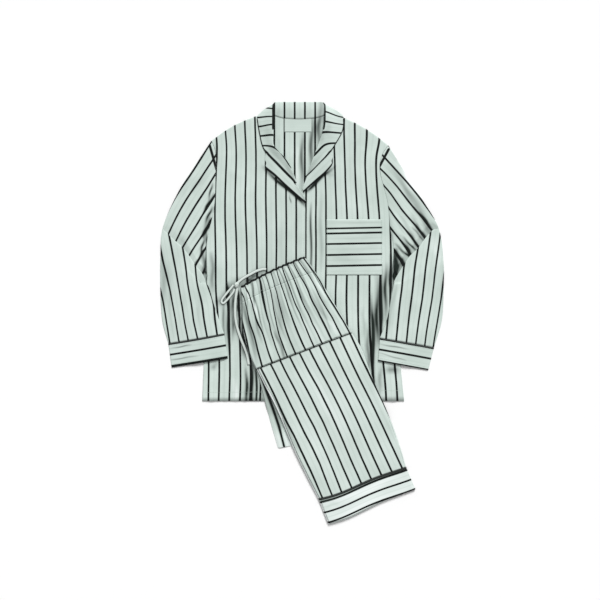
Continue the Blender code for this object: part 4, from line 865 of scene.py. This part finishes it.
PAINTED_SHADE_LOWER = (
    (-78, -178, -2, -342, 3.6, 0.8), (20, -130, 120, -340, 16, -0.3), (120, -70, 236, -350, 8, 0.1),
    (-40, -150, 60, -370, 10, -0.15), (-112, -130, -60, -240, 5, -0.5))
PAINTED_SHADE_HEM = ((50, -462, 240, -390, 9, -0.5), (66, -494, 256, -416, 7, -0.5), (46, -470, 90, -452, 5, 0.4))
SIDE_TURN = ((0.55, 4.6), (0.5, 3.4), (0.6, 2.3), (1.0, 1.4), (1.8, 0.7), (3.2, 0.28), (5.5, 0.08))
END_TURN = ((0.55, 4.2), (0.5, 3.2), (0.6, 2.2), (1.0, 1.35), (1.8, 0.65), (3.2, 0.25), (5.5, 0.06))
CORNER_IN = 1.6


def hem_wave(share):
    """How far the hem hangs out below a straight line, at a share of its width: an uneven S."""
    return HEM_WAVE * np.sin(2 * np.pi * share) * (1 - 0.85 * share)


def stretch(table, places, columns, soft, bow=0, bow_from=0, wavy=None, first_turn=False, last_turn=False):
    """A stretch of the folded trousers: gathered or level across, turned down at both sides and at an end.
    wavy is where the hem's wave starts and is full, counted in rows."""
    line = through(table, places)
    left, right = line[:, None, :2], line[:, None, 2:4]
    inset, drop = np.array(SIDE_TURN).T
    shares = np.concatenate([np.zeros(len(inset)), np.linspace(0, 1, columns + 2)[1:-1], np.ones(len(inset))])
    inset = np.concatenate([inset, np.zeros(columns), -inset[::-1]])
    drop = np.concatenate([drop, np.zeros(columns), drop[::-1]])
    run = right - left
    width = np.linalg.norm(run, axis=-1, keepdims=True)
    plan = left + run * shares[None, :, None] + run / width * inset[None, :, None]
    down = np.stack([run[..., 1], -run[..., 0]], axis=-1) / width
    bowed = bow * np.sin(np.pi * shares)[None] * (1 - smooth(0, 1, places - bow_from))[:, None]
    plan = plan - down * bowed[..., None]
    if wavy:
        plan = plan + down * (hem_wave(shares)[None] * smooth(*wavy, places)[:, None])[..., None]
    # Gathers are sharp at the top and round below, and no two are alike.
    phase = 2 * np.pi * GATHERS * shares + 0.9 * np.sin(6 * np.pi * shares) + 0.6
    wave = (np.sin(phase) + 0.35 * np.sin(2.37 * phase + 1.1) - 0.2 * np.cos(2 * phase)) / 1.25
    if first_turn:
        plan = plan - down * (0.9 * wave[None] * (1 - smooth(0, 1, places))[:, None])[..., None]
    level = (1 - np.clip(drop / 0.3, 0, 1))[None]
    z = line[:, 4:5] - 0.6 + line[:, 5:6] * wave[None] * level
    z = z + (folds(soft, plan[..., 0], plan[..., 1]) + ripples(plan[..., 0], plan[..., 1], 29, 0.35)) * level
    dropped = np.broadcast_to(drop, z.shape)
    if first_turn:
        plan, z, dropped = turned_end(plan, z, dropped, down[0])
    if last_turn:
        turned = turned_end(plan[::-1], z[::-1], dropped[::-1], -down[-1])
        plan, z, dropped = (part[::-1] for part in turned)
    return with_height(plan, z - dropped)


def turned_end(plan, z, dropped, inward):
    """The first row replaced by rows that turn the end down, each moved in by its inset.
    The drops of an end and a side add up as a round corner does."""
    inset, drop = np.array(END_TURN).T[..., None]
    ends = plan[:1] + inward * inset[..., None]
    corner = (dropped[:1] ** 3 + drop**3) ** (1 / 3)
    round_in = CORNER_IN * dropped[:1] * drop / (dropped.max() * drop.max())
    over = (plan[0, -1] - plan[0, 0]) / np.linalg.norm(plan[0, -1] - plan[0, 0])
    towards = np.where(np.arange(plan.shape[1]) < plan.shape[1] / 2, 1, -1)[None, :, None]
    ends = ends + round_in[..., None] * (inward + towards * over)
    tops = np.repeat(z[:1], len(drop), axis=0)
    return tuple(np.concatenate(pair) for pair in ((ends, plan[1:]), (tops, z[1:]), (corner, dropped[1:])))


hem_start, leg_end = np.array(HEM_BAND[0]), np.array(LEG_LOWER[-1])
piping_table = np.array([leg_end + (hem_start - leg_end) * 0.1, hem_start - (hem_start - leg_end) * 0.1])
piping_table[:, 4] += 0.7
across_hem = np.array((hem_start[3] - hem_start[1], hem_start[0] - hem_start[2]))
across_hem /= np.linalg.norm(across_hem)
turned = len(SIDE_TURN)
for name, old, tone, table, places, columns, soft, lines, painted_shades, flat, settings in (
        ("waist_casing", "waistband", 0.08, WAISTBAND, np.linspace(0, 2, 26), 190, (), ON_UPPER, PAINTED_SHADE_UPPER,
         (0.21, 0.05), dict(bow=WAIST_BOW, bow_from=2, first_turn=True)),
        ("leg_top_stretch", "leg_upper", 0.06, LEG_UPPER, np.linspace(0, 3, 74), 190, FOLDS_UPPER, ON_UPPER,
         PAINTED_SHADE_UPPER, (0.24, 0.185), dict(bow=WAIST_BOW, last_turn=True)),
        ("leg_low_stretch", "leg_lower", -0.08, LEG_LOWER, np.linspace(0, 5, 120), 84, FOLDS_LOWER, ON_LOWER,
         PAINTED_SHADE_LOWER, (0.25, 0.37), dict(wavy=(3.3, 5))),
        ("hem_piping_cord", "hem_piping", 0, piping_table, np.linspace(0, 1, 5), 84, (), None, (), (),
         dict(wavy=ALL_WAVY)),
        ("hem_turn_up", "hem_band", -0.4, HEM_BAND, np.linspace(0, 2, 30), 84, (), None, PAINTED_SHADE_HEM,
         (0.23, 0.064), dict(last_turn=True, wavy=ALL_WAVY))):
    grid = stretch(table, places, columns, soft, **settings)
    x, y = grid[..., 0], grid[..., 1]
    # The hem band is cut across the stripe, so its stripes run along its seam.
    on_hem, plain = name == "hem_turn_up", name == "hem_piping_cord"
    over_hem = (x - hem_start[0]) / HEM_WIDE
    below = (x - hem_start[0]) * across_hem[0] + (y - hem_start[1]) * across_hem[1]
    below = below - hem_wave(np.clip(over_hem, 0, 1))
    hem_stripe = (below - 3 - 2.2 * (1 - over_hem)) / PITCH
    # Painted shade from the table and from the stretch's tone, which paints it darker, and paler below 0 as
    # painted light; the left folded edge is painted paler, as painted light.
    painted_shades = folds(painted_shades, x, y) + tone - SIDE_PAINTED_LIGHT * (np.arange(grid.shape[1]) < turned)
    # A dark line is painted along the waist's folded edge and along the tuck, as painted shade, and painted
    # shade makes a dark gap at the hem's seam.
    from_first = np.linalg.norm(grid - grid[:1], axis=-1)
    made = cloth(name, grid, woven(lines, x, y, 2) if lines else hem_stripe, x if on_hem else y,
                 piping_cloth if plain else body_satin, slot="dark_piping" if plain else "striped_cotton",
                 wall=1.4 if plain else WALL,
                 edge=np.maximum(from_first - PAINTED_SHADE_ENDS[name], 0) if name in PAINTED_SHADE_ENDS else NO_EDGE,
                 depth=painted_shades + 1.1 * (1 - smooth(2.5, 5, below)) * on_hem)
    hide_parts(old)
    if name == "waist_casing":
        trouser_seams = [grid[len(END_TURN) + 4, turned:-turned], grid[-4, turned:-turned]]
    elif on_hem:
        trouser_seams.append(grid[3, turned:-turned])

stitching("trouser_stitching", trouser_seams)

# The hidden layers, as rings up the folded edges from the surface to the top layer.
# Left edge x, y, right edge x, y, and height of the top.
FOLDED_CORE = (
    (-145, 61, 6, 132.5, 8.0), (-144, 26, 31, 100, 8.0), (-140, -46, 62, 48, 8.0), (-124, -101, 94, -5, 9.0),
    (-115, -122, 111.5, -34.5, 11.6), (-113.8, -124.8, 112.8, -37.3, 8.2), (-89, -174, 142, -84, 8.1),
    (-57, -238, 170, -158, 7.3), (-20, -326, 206, -240, 6.2), (14, -396, 233, -314, 5.8),
    (40, -447, 250, -371, 5.1), (61.0, -501.5, 270.6, -418.6, 4.8))
# CORE_SHADE is an even painted shade on the hidden layers.
CORE_INSET, CORE_SHADE = 2.4, 0.3
SHIRT_TOP, OFF_SHIRT_FROM, OFF_SHIRT_TO = 4.5, -218, -264
# Share of the height, and how far in from the outermost layer.
LAYERS = (
    (0.0, 1.0), (0.03, 0.4), (0.1, 0.1), (0.18, 0.0), (0.25, 0.15), (0.3, 0.6), (0.335, 1.6), (0.37, 0.6),
    (0.42, 0.15), (0.5, 0.0), (0.58, 0.15), (0.63, 0.6), (0.67, 1.6), (0.705, 0.6), (0.76, 0.15), (0.84, 0.0),
    (0.92, 0.2), (0.97, 0.6), (1.0, 1.2))
line = straight(FOLDED_CORE, np.concatenate([np.linspace(0, 4, 33), np.linspace(4, 5, 5)[1:],
                                             np.linspace(5, 11, 49)[1:]]))
left, right = line[:, None, :2], line[:, None, 2:4]
run = right - left
run = run / np.linalg.norm(run, axis=-1, keepdims=True)
share = np.linspace(0, 1, 34)[None, :, None]
plan = (left + run * CORE_INSET) * (1 - share) + (right - run * CORE_INSET) * share
top = np.broadcast_to(line[:, 4:5], plan.shape[:2])
low = SHIRT_TOP * smooth(OFF_SHIRT_TO, OFF_SHIRT_FROM, plan[..., 1]) + CLEAR
count, columns = plan.shape[:2]
# Rows and columns of the border's points, once round.
up, over = np.arange(count - 1), np.arange(columns - 1)
r = np.concatenate([0 * over, up, 0 * over + count - 1, count - 1 - up])
c = np.concatenate([over, 0 * up + columns - 1, columns - 1 - over, 0 * up])
border = plan[r, c]
ahead = np.roll(border, -1, axis=0) - np.roll(border, 1, axis=0)
inward = np.stack([ahead[:, 1], -ahead[:, 0]], axis=-1) / np.linalg.norm(ahead, axis=-1, keepdims=True)
rings = [with_height(border + inward * inset, low[r, c] + (top[r, c] - low[r, c]) * height)
         for height, inset in LAYERS[1:-1]]
under, over = with_height(plan, low).reshape(-1, 3), with_height(plan, top).reshape(-1, 3)
number = r * columns + c
under[number, :2] += inward * LAYERS[0][1]
over[number, :2] += inward * LAYERS[-1][1]
verts = np.concatenate([under, over, *rings])
around = np.arange(len(r))
levels = np.stack([number, *(2 * count * columns + k * len(r) + around for k in range(len(rings))),
                   number + count * columns])
following = np.roll(levels, -1, axis=1)
sides = np.stack([levels[:-1], levels[1:], following[1:], following[:-1]], axis=-1).reshape(-1, 4)
faces = np.concatenate([quads(count, columns), quads(count, columns)[:, ::-1] + count * columns, sides])
x, y = verts[:, 0], verts[:, 1]
core = piece("folded_layers", verts, faces.tolist(), body_satin, "striped_cotton",
             weave=np.stack([woven(ON_LOWER, x, y, 10), y], axis=-1),
             marks=np.repeat(((NO_EDGE, CORE_SHADE),), len(verts), axis=0))
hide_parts("folded_core")

# The other leg's edge shows beside the lower stretch, with one dark stripe.
# Inner edge x, y and outer edge x, y.
UNDER_LEG = (
    (-106.5, -139, -110, -135.5), (-90, -169, -99.5, -168), (-69.5, -209.5, -89, -209),
    (-48.5, -256.5, -77, -256), (-27, -308, -61, -312), (-23.5, -318, -57, -324))
UNDER_STRIPE = ((-98, -150), (-84, -190), (-69.4, -230), (-55.9, -270), (-42.7, -321), (-40, -332))
line = through(UNDER_LEG, np.linspace(0, 5, 60))
share = np.concatenate([[0], np.linspace(0.02, 1, 22) ** 1.3])[None, :, None]
plan = line[:, None, 2:] * (1 - share) + line[:, None, :2] * share
on_shirt = smooth(OFF_SHIRT_TO + 16, OFF_SHIRT_FROM, plan[..., 1])
rise = 1.5 * np.sin(np.pi * share[..., 0] ** 0.6) * smooth(0, 2, np.linspace(0, 11, 60))[:, None]
centre_x = np.interp(-plan[..., 1], [-y for _, y in UNDER_STRIPE], [x for x, _ in UNDER_STRIPE])
x, y = plan[..., 0] - centre_x, plan[..., 1]
# Painted shade outside the stripe and by the shirt, painted light at the lower end, and painted shade along the
# stripe, which makes it darker and bolder.
shade = (0.2 * smooth(0, 10, x) * smooth(-330, -240, y) + 0.3 * smooth(-270, -200, y)
         - 0.5 * smooth(-270, -300, y) + 1.2 * np.exp(-(x / 4) ** 2) * smooth(-340, -320, y))
made = cloth("under_leg_edge", with_height(plan, BACK_Z + (FRONT_Z + 0.9) * on_shirt + rise), x / PITCH, y,
             body_satin, depth=shade)
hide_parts("under_leg")

# ---------------------------------------------------------------------------------------------
# Drawstring, a flat woven cotton tape that comes out of the waist's casing, is knotted once with a loop
# left, and falls along the trousers' folded edge over the shirt.
TAPE_WIDTH, TAPE_THICK = 6.5, 1.3
TAPE_WAIST = ((-151.4, 75), (-145, 80.5), (-137, 86), (-125, 92.5), (-110, 100.5), (-95, 105.2), (-86, 105))
TAPE_LOOP = (
    (-164.2, 67.6), (-170, 60), (-178, 50.5), (-186, 40.5), (-191.6, 32.5), (-192.8, 26.5), (-189, 23.5),
    (-184, 27), (-177, 34.5), (-170, 43), (-165, 50), (-162, 57.5))
TAPE_END = (
    (-155, 59.5), (-156.6, 50), (-158.5, 38), (-160, 22), (-160.3, 5), (-159.5, -12), (-156.5, -30),
    (-151.5, -48), (-145, -66), (-137.5, -84), (-131.5, -102), (-127.5, -124))
# Share of the width and of the thickness, once round.
TAPE_SECTION = (
    (0.46, 0.5), (0, 0.5), (-0.46, 0.5), (-0.5, 0.25), (-0.5, -0.25), (-0.46, -0.5), (0, -0.5), (0.46, -0.5),
    (0.5, -0.25), (0.5, 0.25))
KNOT_PLACE, KNOT_SIZE = (-157, 67.5), (5.4, 6.6, 3.2)
KNOT_ROUND, KNOT_ROWS, KNOT_GROOVE = 48, 25, 0.13
PATH_POINTS = 30        # of a tape's middle line, about

# Woven cotton tape: matt, ribbed across, with hairs that pale it, and painted shadow darkening it along its
# edges.
tape_cloth, tree, shader = new_finish("woven_cotton_tape")
weave = add(tree, "UVMap", uv_map="weave")
ribs = add(tree, "TexWave", {"Vector": weave, "Scale": 1.1, "Distortion": 0.6}, bands_direction="Y")
hairs = add(tree, "TexNoise", {"Vector": weave, "Scale": 2.5, "Detail": 2.0})
from_middle = add(tree, "Math", {0: add(tree, "SeparateXYZ", {0: weave})}, operation="ABSOLUTE")
# Painted shadow along the tape's edges.
painted_edge_shadow = add(tree, "MapRange", {"Value": from_middle, "From Min": 2.0, "From Max": 3.2, "To Max": 0.85},
               interpolation_type="SMOOTHSTEP")
rib = add(tree, "MapRange", {"Value": ribs, "To Max": 0.18})
ground = add(tree, "Mix", {0: hairs, 6: linear("#C6D1CB"), 7: linear("#E0E8E4")}, **COLOURS)
for share, colour in ((rib, "#9FAEA6"), (painted_edge_shadow, "#2A3630")):
    ground = add(tree, "Mix", {0: share, 6: ground, 7: linear(colour)}, **COLOURS)
fill(shader, {"Base Color": ground, "Roughness": 0.7, "Specular IOR Level": 0.2,
              "Normal": add(tree, "Bump", {"Strength": 0.3, "Distance": 0.0003, "Height": ribs})})


def tape(name, route, count, twist=0.0, width=TAPE_WIDTH):
    """A flat tape along a route in plan, on the shirt: rings of its section, which is rounded at the edges.
    twist tilts it a little to and fro on its way."""
    centre = through(route, np.linspace(0, len(route) - 1, count))
    ahead = np.gradient(centre, axis=0)
    side = np.stack([-ahead[:, 1], ahead[:, 0]], axis=-1) / np.linalg.norm(ahead, axis=-1, keepdims=True)
    z = front_height(centre[:, 0], centre[:, 1], True) + WALL / 2 + 0.45 + TAPE_THICK / 2 + abs(twist)
    tilt = twist * np.sin(np.linspace(0, 9, count))
    rings = np.stack([with_height(centre + side * width * across, z + TAPE_THICK * up + tilt * across)
                      for across, up in TAPE_SECTION], axis=1)
    n = len(TAPE_SECTION)
    far = n * (count - 1)
    faces = [*quads(count, n, ring=True).tolist(), list(range(n))[::-1], list(range(far, far + n))]
    length = np.concatenate([[0], np.cumsum(np.linalg.norm(np.diff(centre, axis=0), axis=-1))])
    flat = np.stack([np.broadcast_to([across * TAPE_WIDTH for across, _ in TAPE_SECTION], (count, n)),
                     np.broadcast_to(length[:, None], (count, n))], axis=-1).reshape(-1, 2)
    made = piece(name, rings, faces, tape_cloth, "drawstring_tape", weave=flat)
    points = with_height(centre, z) * MM
    path = [*points[::max(1, count // PATH_POINTS)].tolist(), points[-1].tolist()]
    return made, [tuple(point) for point in path]


run_route = (*TAPE_WAIST[::-1], (-153.6, 71.5), *TAPE_END)
drawstring, run_path = tape("drawstring_run", run_route, 150, 0.5)
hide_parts("drawstring_waist", "drawstring_end")
loop_tape, loop_path = tape("drawstring_bow", TAPE_LOOP, 100, 0.4, 0.82 * TAPE_WIDTH)
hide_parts("drawstring_loop")

# The knot: the tape wrapped once round itself, as a squeezed ball with two grooves wound over it.
turn, tilt = np.meshgrid(np.linspace(0, 2 * np.pi, KNOT_ROUND, endpoint=False),
                         np.linspace(0.06, np.pi - 0.06, KNOT_ROWS))
wound = np.sin(turn + 2.2 * tilt)
groove = 1 - KNOT_GROOVE * np.exp(-(wound / 0.35) ** 2)
ball = np.stack([np.sin(tilt) * np.cos(turn), np.sin(tilt) * np.sin(turn), np.cos(tilt)], axis=-1)
ball = ball * groove[..., None]
knot_z = float(front_height(*np.array(KNOT_PLACE), True)) + WALL / 2 + 0.3 + KNOT_SIZE[2]
ball = ball * KNOT_SIZE + (*KNOT_PLACE, knot_z)
verts = np.concatenate([ball.reshape(-1, 3), ball[:1].mean(axis=1), ball[-1:].mean(axis=1)])
first = KNOT_ROWS * KNOT_ROUND
near, far = np.arange(KNOT_ROUND), np.arange(first - KNOT_ROUND, first)
caps = np.concatenate([np.stack([0 * near + first, near, np.roll(near, -1)], axis=-1),
                       np.stack([0 * far + first + 1, np.roll(far, -1), far], axis=-1)])
faces = [*quads(KNOT_ROWS, KNOT_ROUND, ring=True)[:, ::-1].tolist(), *caps.tolist()]
spots = np.concatenate([np.stack([2.6 * wound, tilt * 6], axis=-1).reshape(-1, 2), np.zeros((2, 2))])
knot = piece("drawstring_tie", verts, faces, tape_cloth, "drawstring_tape", weave=spots)
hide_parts("drawstring_knot")

# ---------------------------------------------------------------------------------------------
# White floor, soft studio light from above the collar, and the camera straight above.
FLOOR_HALF = 6000
CENTRE, CAMERA_Z = (-0.0048, 0.0312), 4.0       # metres
floor_white, tree, shader = new_finish("white_paper_floor")
fill(shader, {"Base Color": linear("#F5F5F5"), "Roughness": 0.9})
corners = FLOOR_HALF * np.array(((-1, -1, 0), (1, -1, 0), (1, 1, 0), (-1, 1, 0)))
surface("floor", corners, [[0, 1, 2, 3]], floor_white)

world = bpy.data.worlds.new("studio")
bpy.context.scene.world = world
world.use_nodes = True
fill(world.node_tree.nodes["Background"], {"Color": (1, 1, 1, 1), "Strength": 0.46})

sun = bpy.data.lights.new("soft_key", "SUN")
sun.energy, sun.angle = 3.1, 0.42
sun_object = bpy.data.objects.new("soft_key", sun)
# From beyond the collar and a little to the right, 40 degrees above the surface.
sun_object.rotation_euler = (-0.83, 0.28, 0)
bpy.context.scene.collection.objects.link(sun_object)

camera_data = bpy.data.cameras.new("camera")
camera_data.lens, camera_data.sensor_width = 100, 36
camera = bpy.data.objects.new("camera", camera_data)
camera.location = (*CENTRE, CAMERA_Z)
bpy.context.scene.collection.objects.link(camera)
bpy.context.scene.camera = camera
bpy.context.scene.view_settings.view_transform = "Standard"
